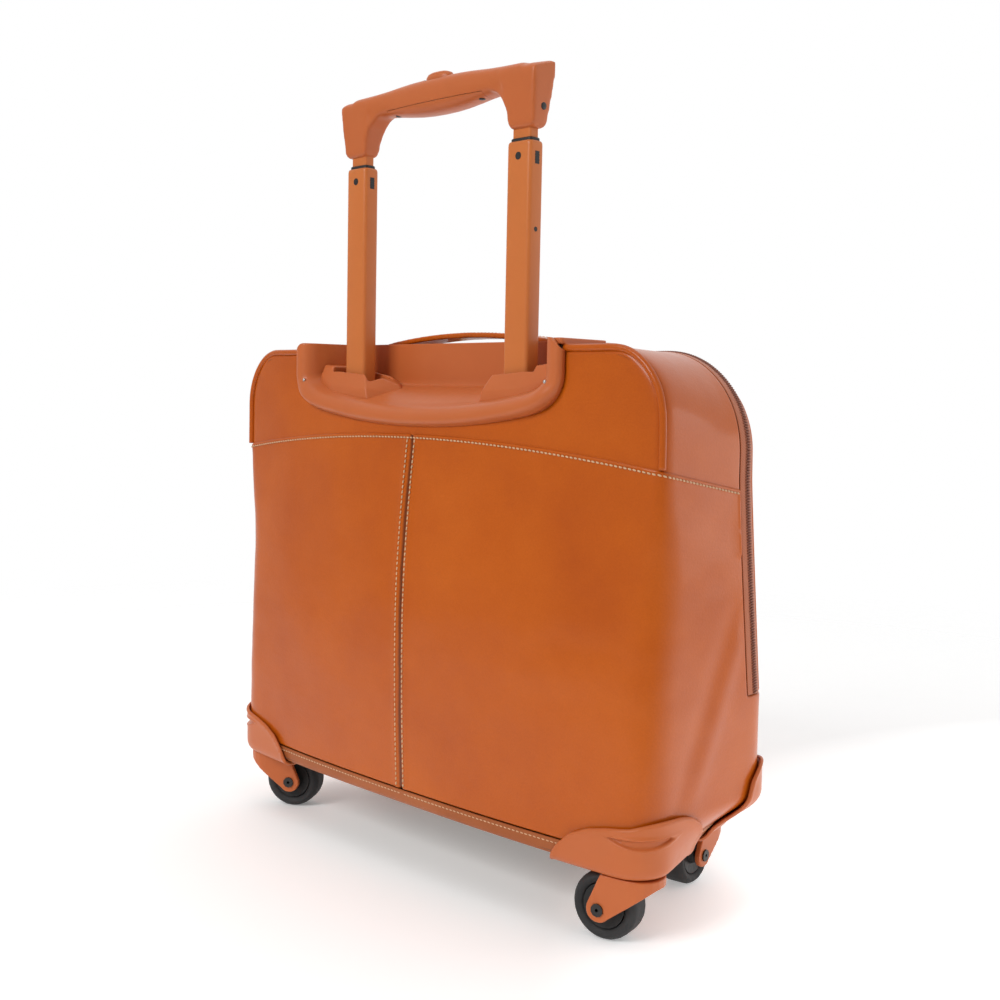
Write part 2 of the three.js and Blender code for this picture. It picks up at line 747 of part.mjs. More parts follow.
function stageOne(side) {
  const name = side < 0 ? "left" : "right";
  const x = side * TUBE_X;
  const low = STAGE1.top - STAGE1.length;
  const bore = [STAGE1.w - 2 * STAGE1.wall, STAGE1.d - 2 * STAGE1.wall];
  const lockHole = rod("x", 1.8, 10, x + side * (STAGE1.w / 2), depthY(TUBE_DEPTH), 465, 12);
  const body = tube(x, STAGE1.w, STAGE1.d, STAGE1.wall, low, STAGE1.top)
    .subtract(lugs(x, 0))
    .subtract(lockHole);

  const plug = tubeHole(x, bore[0] - 2 * GAP, bore[1] - 2 * GAP, STAGE1.top - BUSH.plug, STAGE1.top + 1, 1);
  const flange = tubeHole(x, STAGE1.w, STAGE1.d, STAGE1.top + GAP, STAGE1.top + 2.4);
  const slide = tubeHole(x, STAGE2.w + 2 * GAP, STAGE2.d + 2 * GAP, 400, 600, 1.4);
  const collar = plug.add(flange).add(lugs(x, GAP)).subtract(slide);

  // The shoe fills the housing's bore under the tube and guides it.
  const slack = 2 * HOUSING.wall + 2 * GAP;
  const shoe = tubeHole(x, HOUSING.w - slack, HOUSING.d - slack, low - 3.5, low - GAP)
    .add(tubeHole(x, bore[0] - 2 * GAP, bore[1] - 2 * GAP, low - 1, low + 5, 1))
    .subtract(rod("z", 3.4, 40, x, depthY(TUBE_DEPTH), low, 12));
  return [
    piece(`stage1_tube_${name}`, body, paintedTube),
    piece(`stage1_collar_${name}`, collar, blackPlastic),
    piece(`stage1_shoe_${name}`, shoe, blackPlastic),
  ];
}

function stageTwo(side) {
  const name = side < 0 ? "left" : "right";
  const x = side * TUBE_X;
  const y = depthY(TUBE_DEPTH);
  const body = tube(x, STAGE2.w, STAGE2.d, STAGE2.wall, STAGE2.bottom + 6, STAGE2.top, 1.4);
  const bore = [STAGE1.w - 2 * STAGE1.wall, STAGE1.d - 2 * STAGE1.wall];
  const slack = 2 * STAGE2.wall + 2 * GAP;
  const low = STAGE2.bottom;
  const shoe = tubeHole(x, bore[0] - 2 * GAP, bore[1] - 2 * GAP, low, low + 6 - GAP, 1)
    .add(tubeHole(x, STAGE2.w - slack, STAGE2.d - slack, low + 3, low + 12, 0.6))
    .subtract(rod("z", 2.3, 60, x, y, low, 12));
  const pushRod = rod("z", 1.8, 566.6 - (STAGE2.bottom + 9), x, y, (566.6 + STAGE2.bottom + 9) / 2, 10);
  return [
    piece(`stage2_tube_${name}`, body, paintedTube),
    piece(`stage2_shoe_${name}`, shoe, blackPlastic),
    piece(`push_rod_${name}`, pushRod, steel),
  ];
}

// ---------- grip ----------

const GRIP_MID = (GRIP.near + GRIP.far) / 2;
const COVER_TOP = 562;
const COVER_HALF = 50;

function gripOutline() {
  const half = [
    [0, GRIP.top],
    [60, GRIP.top - 0.8],
    [88, GRIP.top - 3.5],
    [97, GRIP.top - 5.5],
    [GRIP.end, GRIP.top - 10],
    [99.5, GRIP.bottom + 3.5],
    [97, GRIP.bottom],
    [77, GRIP.bottom],
    [74, GRIP.bottom + 3],
    [71.5, 553],
    [66, 560],
    [58, 561.5],
    [35, GRIP.belly + 2.2],
    [0, GRIP.belly],
  ];
  const mirrored = half.slice(1, -1).reverse().map(([x, z]) => [-x, z]);
  return shapeOf([...half, ...mirrored]);
}

function gripBody() {
  const taper = sidePrism(
    [
      [GRIP.near + 2.2, GRIP.bottom - 5],
      [GRIP.near, GRIP.top + 5],
      [GRIP.far, GRIP.top + 5],
      [GRIP.far - 0.5, GRIP.belly],
      [26.5, GRIP.bottom - 5],
    ],
    -FAR,
    FAR,
  );
  return frontPrism(gripOutline(), GRIP.near, GRIP.far, 3).intersect(taper);
}

function gripPieces() {
  const whole = gripBody();
  const channel = block(-93, 93, TUBE_DEPTH - 5, TUBE_DEPTH + 5, 562.4, 571.6);
  const coverRoom = block(-COVER_HALF - GAP, COVER_HALF + GAP, -40, 80, 500, COVER_TOP + GAP);
  const buttonHole = planPrism(
    roundedRect(0, depthY(TUBE_DEPTH), 2 * BUTTON_HALF + 2 * GAP, 12 + 2 * GAP, 5),
    561,
    600,
  );
  let upper = whole.subtract(coverRoom).subtract(channel).subtract(buttonHole);
  let lower = whole
    .intersect(block(-COVER_HALF, COVER_HALF, -40, 80, 500, COVER_TOP))
    .subtract(block(-36, 36, TUBE_DEPTH - 5.5, TUBE_DEPTH + 5.5, 559, 600));
  for (const side of [-1, 1]) {
    upper = upper.subtract(tubeHole(side * TUBE_X, STAGE2.w + 2 * GAP, STAGE2.d + 2 * GAP, 500, 563, 1.4));
    upper = upper.subtract(rod("x", 2.4, 7, side * 99.6, depthY(20.5), 546, 12));
    lower = lower.subtract(rod("z", 2.4, 5, side * 42, depthY(15), 556, 12));
  }
  const cap = planPrism(roundedRect(0, depthY(TUBE_DEPTH), 2 * BUTTON_HALF, 12, 4.7), 566.9, 584, 1.2);
  const bar = block(-90, 90, TUBE_DEPTH - 3.5, TUBE_DEPTH + 3.5, 566.9, 569.6);
  const seat = rod("z", 2.2, 3, 0, depthY(TUBE_DEPTH), 566, 12);
  return {
    upper: piece("grip_upper_shell", upper, plastic),
    lower: piece("grip_lower_cover", lower, plastic),
    button: piece("grip_button", cap.add(bar).add(seat), plastic),
    spring: piece("button_spring", spring(), steel),
  };
}

// The return spring stands on the lower cover and presses the button's cross bar up.
function spring() {
  const low = 559 + 0.7 + 0.4;
  const high = 566.9 - 0.7 - 0.2;
  class Coil extends THREE.Curve {
    getPoint(t, target = new THREE.Vector3()) {
      const turn = 2 * Math.PI * 3 * t;
      const y = depthY(TUBE_DEPTH) + 3.4 * Math.sin(turn);
      return target.set(3.4 * Math.cos(turn), y, low + (high - low) * t);
    }
  }
  const wire = new THREE.Shape().absarc(0, 0, 0.45, 0, 2 * Math.PI, false);
  const geometry = new THREE.ExtrudeGeometry(wire, {
    steps: 24,
    bevelEnabled: false,
    extrudePath: new Coil(),
    curveSegments: 3,
  });
  return solid(geometry);
}

// ---------- inside and top ----------

// An open-topped padded sleeve for the laptop, in front of the handle's housings.
function sleeve() {
  const [near, far] = [33, 66];
  const pad = 4;
  const low = BODY_BOTTOM + 8 + 2 * GAP;
  const [width, height] = [390, 250];
  const outside = frontPrism(roundedRect(0, low + height / 2, width, height, 16), near, far);
  const inside = frontPrism(
    roundedRect(0, low + pad + height, width - 2 * pad, 2 * height, 12),
    near + pad,
    far - pad,
  );
  return piece("laptop_sleeve", outside.subtract(inside), lining);
}

const STRAP = { near: 50, far: 76, free: 98, end: 128, rise: 9, thick: 4 };

// A flat leather handle, its ends sewn to the gusset and its middle bowed up.
function carryHandle() {
  const base = BODY_TOP + GAP;
  const arch = (z) => {
    const line = [];
    for (let i = 0; i <= 12; i++) {
      const x = STRAP.free * ((2 * i) / 12 - 1);
      line.push([x, z + STRAP.rise * Math.cos((Math.PI / 2) * (x / STRAP.free)) ** 0.8]);
    }
    return line;
  };
  const low = [[-STRAP.end, base], ...arch(base), [STRAP.end, base]];
  const top = base + STRAP.thick;
  const high = [[-STRAP.end, top], ...arch(top), [STRAP.end, top]];
  const outline = shapeOf([...low, ...high.reverse()]);
  return piece("carry_handle", frontPrism(outline, STRAP.near, STRAP.far), leather);
}

// ---------- assembly ----------

const rollingCase = new THREE.Group();
const caseBody = new THREE.Group();
const lid = new THREE.Group();
const handle = new THREE.Group();
const grip = new THREE.Group();
rollingCase.add(caseBody, lid, handle);
handle.add(grip);

const { bodyTape, lidTape } = zipPieces();
caseBody.add(
  ...bodyPieces(),
  ...piping(),
  piece("handle_tray", tray(), plastic),
  piece("tray_bezel_left", bezel(-1), plastic),
  piece("tray_bezel_right", bezel(1), plastic),
  piece("zip_tape_body", bodyTape, zipTape),
  ...housings(),
  housingFoot(),
  sleeve(),
  carryHandle(),
  piece("zip_slider", mainSlider(), brass),
  piece("zip_pull", mainPull(), brass),
);
for (const caster of CASTERS) {
  caseBody.add(piece(`corner_guard_${caster.name}`, cornerGuard(caster), plastic), casterPieces(caster));
}
lid.add(...lidPieces(lidTape), piece("pocket_slider", pocketSlider(), brass));
for (const side of [-1, 1]) {
  handle.add(...stageOne(side));
  grip.add(...stageTwo(side));
}
const { upper, lower, button, spring: returnSpring } = gripPieces();
grip.add(upper, lower, button, returnSpring);

export default rollingCase;
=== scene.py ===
import math

import bmesh
import bpy
import numpy as np
from mathutils import Matrix, Vector, noise


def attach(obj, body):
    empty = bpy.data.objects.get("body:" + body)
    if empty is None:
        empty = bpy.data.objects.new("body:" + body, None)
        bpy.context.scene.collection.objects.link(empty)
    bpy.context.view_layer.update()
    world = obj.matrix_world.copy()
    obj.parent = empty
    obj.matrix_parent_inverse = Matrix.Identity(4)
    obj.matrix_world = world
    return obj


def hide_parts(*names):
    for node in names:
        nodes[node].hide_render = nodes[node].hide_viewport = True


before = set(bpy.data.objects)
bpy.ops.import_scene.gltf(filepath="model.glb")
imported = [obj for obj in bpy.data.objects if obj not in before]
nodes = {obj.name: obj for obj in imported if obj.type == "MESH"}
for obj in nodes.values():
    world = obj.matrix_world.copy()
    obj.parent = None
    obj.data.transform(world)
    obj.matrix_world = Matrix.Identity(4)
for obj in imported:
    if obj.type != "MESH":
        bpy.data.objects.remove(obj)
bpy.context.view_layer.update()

# ---------- the case's dimensions, in millimetres ----------
# Depth runs forward from the back plane, which lies at y = BACK_Y.

BACK_Y = 84.15
BOTTOM, TOP = 50.5, 386.0
HALF_BACK, HALF_ZIP = 219.0, 220.0
BACK_CORNER, ZIP_CORNER = 44.0, 68.0
ZIP_DEPTH, ZIP_LEAN, ZIP_LEAN_TOP, ZIP_END = 99.0, 18.0, 300.0, 153.0
BULGE, EASE = 13.0, 7.0
FRONT_BASE, FRONT_TOP = 178.0, 149.0
FRONT_CORNER, FRONT_CORNER_BASE = 150.0, 80.0
TOE_IN, TOE_TOP = 31.0, 84.0
STITCH_SIDE, STITCH_MIDDLE, STITCH_DROP = 308.0, 324.0, 17.0
STRIP_TOP, ZIP_BAND = 62.0, 8.5
TOP_EDGE, BASE_EDGE = 7.0, 5.0
TRAY_TOP = 391.0
TUBE_X, TUBE_DEPTH = 86.0, 19.5
STAGE1_W, STAGE1_D = 22.4, 13.6
STAGE1_FOOT, STAGE1_HEAD, COLLAR_FOOT, COLLAR_HEAD = 262.0, 524.0, 504.0, 526.2
BUTTON_DEPTH = 19.5
POCKET_X, POCKET_Z, POCKET_MIDDLE, POCKET_CORNER = 135, 68, 242, 22
STITCH, STRIDE = 2.7, 3.7  # a stitch's length, and the step from one to the next
CAP_ROWS = 14  # rows that close the surface over the top and under the base
TRAY_WALL, GRIP_WALL = 0.0024, 0.0012  # in metres
SIDES = (("left", -1), ("right", 1))
CORNERS = [end + "_" + side for end in ("back", "front") for side in ("left", "right")]


def step(x, a, b):
    """From 0 at a to 1 at b, smoothly."""
    t = np.clip((x - a) / (b - a), 0, 1)
    return t * t * (3 - 2 * t)


def inset(z, radius):
    """How far a rounded top corner comes in at a height."""
    rise = np.clip(z - (TOP - radius), 0, radius)
    return radius - np.sqrt(radius * radius - rise * rise)


def zip_depth(z):
    """Depth of the zip's middle: it leans forward towards its lower ends."""
    fall = np.maximum(0, ZIP_LEAN_TOP - np.maximum(z, ZIP_END)) / (ZIP_LEAN_TOP - ZIP_END)
    return ZIP_DEPTH + ZIP_LEAN * fall**1.2


def toe(z):
    """1 at the base, 0 where the sides are straight."""
    return 1 - step(z, BOTTOM, TOE_TOP)


def zip_half(z):
    """Half the case's width along the zip."""
    swell = 1.5 * np.sin(math.pi * np.clip((z - BOTTOM) / (TOP - BOTTOM), 0, 1))
    return HALF_ZIP + swell - inset(z, ZIP_CORNER) - TOE_IN * toe(z)


def back_bulge(z):
    """How far the middle of the back stands out."""
    low = 0.7 + 0.3 * np.sin((math.pi / 2) * (z - BOTTOM) / (180 - BOTTOM))
    high = np.maximum(0, np.cos((math.pi / 2) * (z - 180) / 170))
    return BULGE * np.where(z < 180, low, high)


def front_depth(z):
    """Depth of the lid's front face."""
    share = (np.minimum(z, TOP - ZIP_CORNER) - BOTTOM) / (TOP - ZIP_CORNER - BOTTOM)
    flat = FRONT_BASE + (FRONT_TOP - FRONT_BASE) * share
    rise = np.clip((z - (TOP - ZIP_CORNER)) / ZIP_CORNER, 0, 1)
    start = zip_depth(z)
    return start + (flat - start) * np.sqrt(1 - rise * rise)


def stitch_height(x, d):
    """Height of the boot's top edge."""
    arch = STITCH_SIDE + (STITCH_MIDDLE - STITCH_SIDE) * (1 - np.clip(np.abs(x) / HALF_BACK, 0, 1) ** 2)
    fall = STITCH_DROP / ZIP_DEPTH * np.clip(d - 9, 0, 110)
    return arch - fall


# ---------- the whole outer surface as one grid ----------


def half_ring(z):
    """Half of the plan outline at one height, as rows of (x, depth)."""
    swell = 1.5 * math.sin(math.pi * (z - BOTTOM) / (TOP - BOTTOM))
    wide = HALF_BACK + swell - float(inset(z, BACK_CORNER))
    edge = 9 + 13 * float(step(STITCH_SIDE - z, 0, 90))
    zipped, zip_d, front = float(zip_half(z)), float(zip_depth(z)), float(front_depth(z))

    def ease(x):
        return EASE * float(step(z, 90, STITCH_SIDE)) * min(1, x / HALF_BACK) ** 2.2

    points = []
    for share in np.linspace(0, 1, 56, endpoint=False):
        x = share * (wide - edge)
        points.append((x, ease(x) - float(back_bulge(z)) * (1 - share**2.2)))
    for turn in np.linspace(0, math.pi / 2, 12, endpoint=False):
        x = wide - edge + edge * math.sin(turn)
        points.append((x, ease(x) + edge - edge * math.cos(turn)))
    start = (wide, ease(wide) + edge)
    for share in np.linspace(0, 1, 30, endpoint=False):
        points.append((start[0] + (zipped - start[0]) * share, start[1] + (zip_d - start[1]) * share))
    reach = min(FRONT_CORNER + (FRONT_CORNER_BASE - FRONT_CORNER) * float(toe(z)), zipped - 20)
    for turn in np.linspace(0, math.pi / 2, 40, endpoint=False):
        points.append((zipped - reach + reach * math.cos(turn), zip_d + (front - zip_d) * math.sin(turn)))
    for share in np.linspace(0, 1, 24):
        points.append(((zipped - reach) * (1 - share), front))
    ring = np.array(points)
    for _ in range(6):
        ring[1:-1] = 0.5 * ring[1:-1] + 0.25 * (ring[:-2] + ring[2:])
    top = z - (TOP - TOP_EDGE)
    if top > 0:
        drop = TOP_EDGE - math.sqrt(max(0, TOP_EDGE**2 - top**2))
        ring[:, 1] += drop * np.clip(1 - ring[:, 1] / 60, 0, 1)
    low = BOTTOM + BASE_EDGE - z
    if low > 0:
        draw = BASE_EDGE - math.sqrt(max(0, BASE_EDGE**2 - low**2))
        middle = np.array([0, 70.0])
        away = ring - middle
        ring = middle + away * (1 - draw / np.linalg.norm(away, axis=1, keepdims=True))
    return ring


def grid():
    """Points and outward normals of the outer surface, in rows from under the base to the top."""
    heights = [BOTTOM + BASE_EDGE * (1 - math.cos(t)) for t in np.linspace(0, math.pi / 2, 6)]
    heights += list(np.arange(BOTTOM + BASE_EDGE + 1.5, TOP - ZIP_CORNER, 2.4))
    heights += [TOP - ZIP_CORNER + ZIP_CORNER * math.sin(t) for t in np.linspace(0, math.pi / 2, 46)]
    rows = []
    for z in heights:
        half = half_ring(min(z, TOP - 1e-6))
        mirrored = half[1:-1][::-1] * [-1, 1]
        ring = np.vstack([half, mirrored])
        rows.append(np.column_stack([ring, np.full(len(ring), z)]))
    for near, first, z in ((rows[0], True, BOTTOM), (rows[-1], False, TOP)):
        cap = []
        for share in np.linspace(0, 1, CAP_ROWS + 1)[1:]:
            row = near.copy()
            row[:, 0] *= 1 - share
            row[:, 1] = 60 + (row[:, 1] - 60) * (1 - share)
            row[:, 2] = z
            cap.append(row)
        rows = cap[::-1] + rows if first else rows + cap
    points = np.array(rows)
    along = np.roll(points, -1, 1) - np.roll(points, 1, 1)
    up = np.gradient(points, axis=0)
    normal = np.cross(up, along)
    normal /= np.maximum(np.linalg.norm(normal, axis=2, keepdims=True), 1e-9)
    centre = np.array([0, 75.0, 220.0])
    flip = np.sign(((points - centre) * normal).sum(2, keepdims=True))
    normal *= np.where(flip == 0, 1, flip)
    normal[:CAP_ROWS] = [0, 0, -1]
    normal[-CAP_ROWS:] = [0, 0, 1]
    return points, normal


GRID, NORMAL = grid()
ROWS, COLS = GRID.shape[:2]
GRID_FACES = [
    (r * COLS + c, r * COLS + (c + 1) % COLS, (r + 1) * COLS + (c + 1) % COLS, (r + 1) * COLS + c)
    for r in range(ROWS - 1)
    for c in range(COLS)
]


def cut(data, faces, value, both=False):
    """Splits a mesh where value crosses zero, and keeps the positive side unless both are wanted."""
    data = list(data)
    value = list(value)
    made, kept = {}, []

    def crossing(a, b):
        key = (a, b) if a < b else (b, a)
        if key not in made:
            t = value[a] / (value[a] - value[b])
            made[key] = len(data)
            data.append(data[a] * (1 - t) + data[b] * t)
            value.append(0.0)
        return made[key]

    for face in faces:
        signs = [value[i] > 0 for i in face]
        if all(signs):
            kept.append(face)
            continue
        if not any(signs):
            if both:
                kept.append(face)
            continue
        for side in (True, False) if both else (True,):
            polygon = []
            for k, a in enumerate(face):
                b = face[(k + 1) % len(face)]
                if signs[k] == side:
                    polygon.append(a)
                if signs[k] != (value[b] > 0):
                    polygon.append(crossing(a, b))
            if len(set(polygon)) > 2:
                kept.append(tuple(dict.fromkeys(polygon)))
    return data, kept


def used_only(data, faces):
    """A mesh without the points that no face uses."""
    used = sorted({i for f in faces for i in f})
    index = {old: new for new, old in enumerate(used)}
    return np.array([data[i] for i in used]), [tuple(index[i] for i in f) for f in faces]


def to_world(points):
    """From (x, depth behind the back plane, z) in millimetres to the frame's metres."""
    out = np.empty_like(points)
    out[:, 0] = points[:, 0] * 0.001
    out[:, 1] = (BACK_Y - points[:, 1]) * 0.001
    out[:, 2] = points[:, 2] * 0.001
    return out


def placed(name, data):
    made = bpy.data.objects.new(name, data)
    bpy.context.scene.collection.objects.link(made)
    return made


def mesh_object(name, verts, faces, materials):
    mesh = bpy.data.meshes.new(name)
    mesh.from_pydata([tuple(v) for v in verts], [], faces)
    mesh.validate()
    mesh.shade_smooth()
    for m in materials:
        mesh.materials.append(m)
    return placed(name, mesh)


def tidy_mesh(obj, merge=1e-5):
    bm = bmesh.new()
    bm.from_mesh(obj.data)
    bmesh.ops.remove_doubles(bm, verts=bm.verts, dist=merge)
    bmesh.ops.dissolve_degenerate(bm, edges=bm.edges, dist=merge * 0.5)
    bmesh.ops.recalc_face_normals(bm, faces=bm.faces)
    bm.to_mesh(obj.data)
    bm.free()
    obj.data.shade_smooth()


def finish_piece(obj, body, replaced=(), material=None):
    """Attaches a piece to its body, hides the CAD nodes it stands in for, and sets its only material if
    given.
    """
    if material:
        obj.data.materials.clear()
        obj.data.materials.append(material)
    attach(obj, body)
    if replaced:
        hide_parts(*replaced)
    return obj


def walled(obj, thickness):
    """Gives an open surface a thickness, inwards."""
    wall = obj.modifiers.new("Wall", "SOLIDIFY")
    wall.thickness = thickness
    wall.offset = -1
    return wall


def panel(
    name, body, materials, bounds_of,
    offset=0.0, thick=2.0, roll=1.6, relief=None, replaced=(), creases=(),
):
    """A shell of the outer surface inside boundary functions, its edges rolled over.

    Each boundary is a function of the points, above zero inside. Relief is a height in millimetres, from
    the points and their distance to the edge. Creases are functions with the levels that need an edge line.
    """
    data = np.hstack([GRID.reshape(-1, 3), NORMAL.reshape(-1, 3)])
    faces = GRID_FACES
    for bound in bounds_of:  # a rough cut first, to save work
        data, faces = cut(data, faces, bound(np.array(data)[:, :3]) + 8)
    for crease, levels in creases:
        for level in levels:
            data, faces = cut(data, faces, crease(np.array(data)[:, :3]) - level, True)
    for bound in bounds_of:
        for level in (roll, 0.5 * roll, 0.15 * roll):
            data, faces = cut(data, faces, bound(np.array(data)[:, :3]) - level, True)
        data, faces = cut(data, faces, bound(np.array(data)[:, :3]))
    data, faces = used_only(data, faces)
    points, normal = data[:, :3], data[:, 3:]
    normal /= np.maximum(np.linalg.norm(normal, axis=1, keepdims=True), 1e-9)
    distance = np.min([b(points) for b in bounds_of], axis=0)
    short = 1 - np.clip(distance, 0, roll) / roll
    drop = roll * (1 - np.sqrt(np.maximum(0, 1 - short * short)))
    lift = offset - drop
    if relief is not None:
        lift = lift + relief(points, distance)
    obj = mesh_object(name, to_world(points + normal * lift[:, None]), faces, materials)
    tidy_mesh(obj)
    centre = Vector((0, 0.01, 0.22))
    outward = sum(1 if (p.center - centre).dot(p.normal) > 0 else -1 for p in obj.data.polygons)
    if outward < 0:
        obj.data.flip_normals()
    solid = walled(obj, thick * 0.001)
    solid.use_even_offset = False
    solid.material_offset = len(materials) - 1
    solid.material_offset_rim = 0
    return finish_piece(obj, body, replaced)


def fractal(points, scale, seed, stretch=(1, 1, 1)):
    """Smooth noise at each point, scale millimetres across."""
    a, b, c = stretch
    return np.array([
        noise.noise(Vector((x / scale * a + seed, d / scale * b, z / scale * c))) for x, d, z in points
    ])


# ---------- materials ----------


class Nodes:
    """A small helper that builds one material's node tree."""

    def __init__(self, name):
        self.material = bpy.data.materials.new(name)
        self.material.use_nodes = True
        self.tree = self.material.node_tree
        self.shader = self.tree.nodes["Principled BSDF"]
        self.place = self.add("ShaderNodeTexCoord").outputs["Object"]

    def add(self, kind, **values):
        node = self.tree.nodes.new(kind)
        for key, value in values.items():
            if hasattr(node, key):
                setattr(node, key, value)
            else:
                node.inputs[key.replace("_", " ")].default_value = value
        return node

    def link(self, a, b):
        self.tree.links.new(a, b)
        return self

    def scaled(self, scale):
        node = self.add("ShaderNodeMapping")
        node.inputs["Scale"].default_value = scale
        self.link(self.place, node.inputs["Vector"])
        return node.outputs["Vector"]

    def noise(self, scale, detail=3.0, rough=0.5, stretch=None):
        node = self.add("ShaderNodeTexNoise", Scale=scale, Detail=detail, Roughness=rough)
        self.link(self.scaled(stretch) if stretch else self.place, node.inputs["Vector"])
        return node.outputs["Fac"]

    def cells(self, scale):
        node = self.add("ShaderNodeTexVoronoi", Scale=scale)
        self.link(self.place, node.inputs["Vector"])
        return node.outputs["Distance"]

    def ramp(self, source, stops):
        node = self.add("ShaderNodeValToRGB")
        ramp = node.color_ramp
        while len(ramp.elements) < len(stops):
            ramp.elements.new(0.5)
        for element, (at, colour) in zip(ramp.elements, stops):
            element.position = at
            element.color = (*colour, 1)
        self.link(source, node.inputs["Fac"])
        return node.outputs["Color"]

    def mix(self, factor, a, b):
        node = self.add("ShaderNodeMix", data_type="RGBA")
        for socket, value in ((node.inputs[0], factor), (node.inputs[6], a), (node.inputs[7], b)):
            if isinstance(value, (int, float)):
                socket.default_value = value
            elif isinstance(value, tuple):
                socket.default_value = (*value, 1)
            else:
                self.link(value, socket)
        return node.outputs[2]

    def math(self, operation, a, b=0.0):
        node = self.add("ShaderNodeMath", operation=operation)
        for socket, value in ((node.inputs[0], a), (node.inputs[1], b)):
            if isinstance(value, (int, float)):
                socket.default_value = value
            else:
                self.link(value, socket)
        return node.outputs[0]

    def range(self, source, low, high, start=0.0, end=1.0):
        """Maps start..end to low..high."""
        node = self.add("ShaderNodeMapRange")
        for socket, value in (("From Min", start), ("From Max", end), ("To Min", low), ("To Max", high)):
            node.inputs[socket].default_value = value
        self.link(source, node.inputs["Value"])
        return node.outputs["Result"]

    def bump(self, layers):
        """Layers of (height, strength, distance), the first one lowest."""
        normal = None
        for height, strength, distance in layers:
            node = self.add("ShaderNodeBump", Strength=strength, Distance=distance)
            self.link(height, node.inputs["Height"])
            if normal is not None:
                self.link(normal, node.inputs["Normal"])
            normal = node.outputs["Normal"]
        self.link(normal, self.shader.inputs["Normal"])
        return self

    def set(self, **values):
        for key, value in values.items():
            socket = self.shader.inputs[key.replace("_", " ")]
            if isinstance(value, bpy.types.NodeSocket):
                self.link(value, socket)
            else:
                socket.default_value = (*value, 1) if isinstance(value, tuple) else value
        return self


def leather_material(name, base, dark, light, rough=(0.28, 0.4), coat=0.3, seam=None):
    """Smooth dyed leather; seam is the colour of a painted shade down the groove of the joint in the middle
    of the back.
    """
    n = Nodes(name)
    mottled = n.ramp(n.noise(9, 6, 0.62), [(0.25, dark), (0.5, base), (0.75, light)])
    speckle = n.range(n.noise(900, 2, 0.5), 0.9, 1.08)
    tint = n.add("ShaderNodeMix", data_type="RGBA", blend_type="MULTIPLY")
    tint.inputs[0].default_value = 1.0
    n.link(mottled, tint.inputs[6]).link(speckle, tint.inputs[7])
    grain = n.math("ADD", n.cells(620), n.math("MULTIPLY", n.noise(1500, 3, 0.6), 0.6))
    crease = n.noise(34, 5, 0.62, (0.35, 0.35, 1.0))
    colour = tint.outputs[2]
    if seam:
        apart = n.add("ShaderNodeSeparateXYZ")
        n.link(n.place, apart.inputs[0])
        wander = n.math("MULTIPLY", n.math("SUBTRACT", n.noise(60, 3), 0.5), 0.0012)
        away = n.math("ABSOLUTE", n.math("ADD", apart.outputs["X"], wander))
        # painted shade: a dark line down the groove of the back seam, on the back only
        painted_seam_shade = n.range(away, 0.85, 0.0, 0.0007, 0.0021)
        behind = n.math("GREATER_THAN", apart.outputs["Y"], 0.03)
        colour = n.mix(n.math("MULTIPLY", painted_seam_shade, behind), colour, seam)
    n.set(
        Base_Color=colour,
        Roughness=n.range(n.noise(60, 4, 0.6), *rough),
        Coat_Weight=coat,
        Coat_Roughness=0.16,
        Specular_IOR_Level=0.15,
    )
    n.bump([(crease, 0.16, 0.004), (grain, 0.16, 0.0003)])
    return n.material


def plastic_material(name, base, light, rough=(0.3, 0.42), grain=0.12):
    """Moulded plastic, painted metal, rubber or board: one tone with a fine grain."""
    n = Nodes(name)
    tone = n.mix(n.range(n.noise(30, 4, 0.55), 0.0, 1.0), base, light)
    n.set(
        Base_Color=tone,
        Roughness=n.range(n.noise(180, 3, 0.6), *rough),
        Specular_IOR_Level=0.3,
        Subsurface_Weight=0.04,
        Subsurface_Scale=0.004,
    )
    n.bump([(n.noise(1300, 2, 0.5), grain, 0.0003), (n.noise(70, 3, 0.5), 0.05, 0.002)])
    return n.material


def fabric_material(name, base, dark, scale=1400.0, rough=0.85):
    """Woven cloth, tape or thread."""
    n = Nodes(name)
    twill = n.add("ShaderNodeTexWave", wave_type="BANDS", bands_direction="DIAGONAL")
    twill.inputs["Scale"].default_value = scale / 4
    twill.inputs["Distortion"].default_value = 1.5
    n.link(n.place, twill.inputs["Vector"])
    worn = n.math("MULTIPLY", twill.outputs["Fac"], n.range(n.noise(300, 3, 0.6), 0.5, 1.0))
    tone = n.mix(worn, dark, base)
    n.set(Base_Color=tone, Roughness=rough, Sheen_Weight=0.25, Sheen_Roughness=0.5)
    n.bump([(twill.outputs["Fac"], 0.5, 0.0003), (n.noise(900, 3, 0.6), 0.3, 0.0003)])
    return n.material


def metal_material(name, base, dark, rough=(0.24, 0.4), metallic=1.0):
    """Brushed metal."""
    n = Nodes(name)
    tone = n.mix(n.noise(60, 4, 0.6), dark, base)
    n.set(Base_Color=tone, Metallic=metallic, Roughness=n.range(n.noise(400, 3, 0.6, (1, 1, 0.08)), *rough))
    n.bump([(n.noise(900, 2, 0.5, (1, 1, 0.06)), 0.08, 0.0002)])
    return n.material


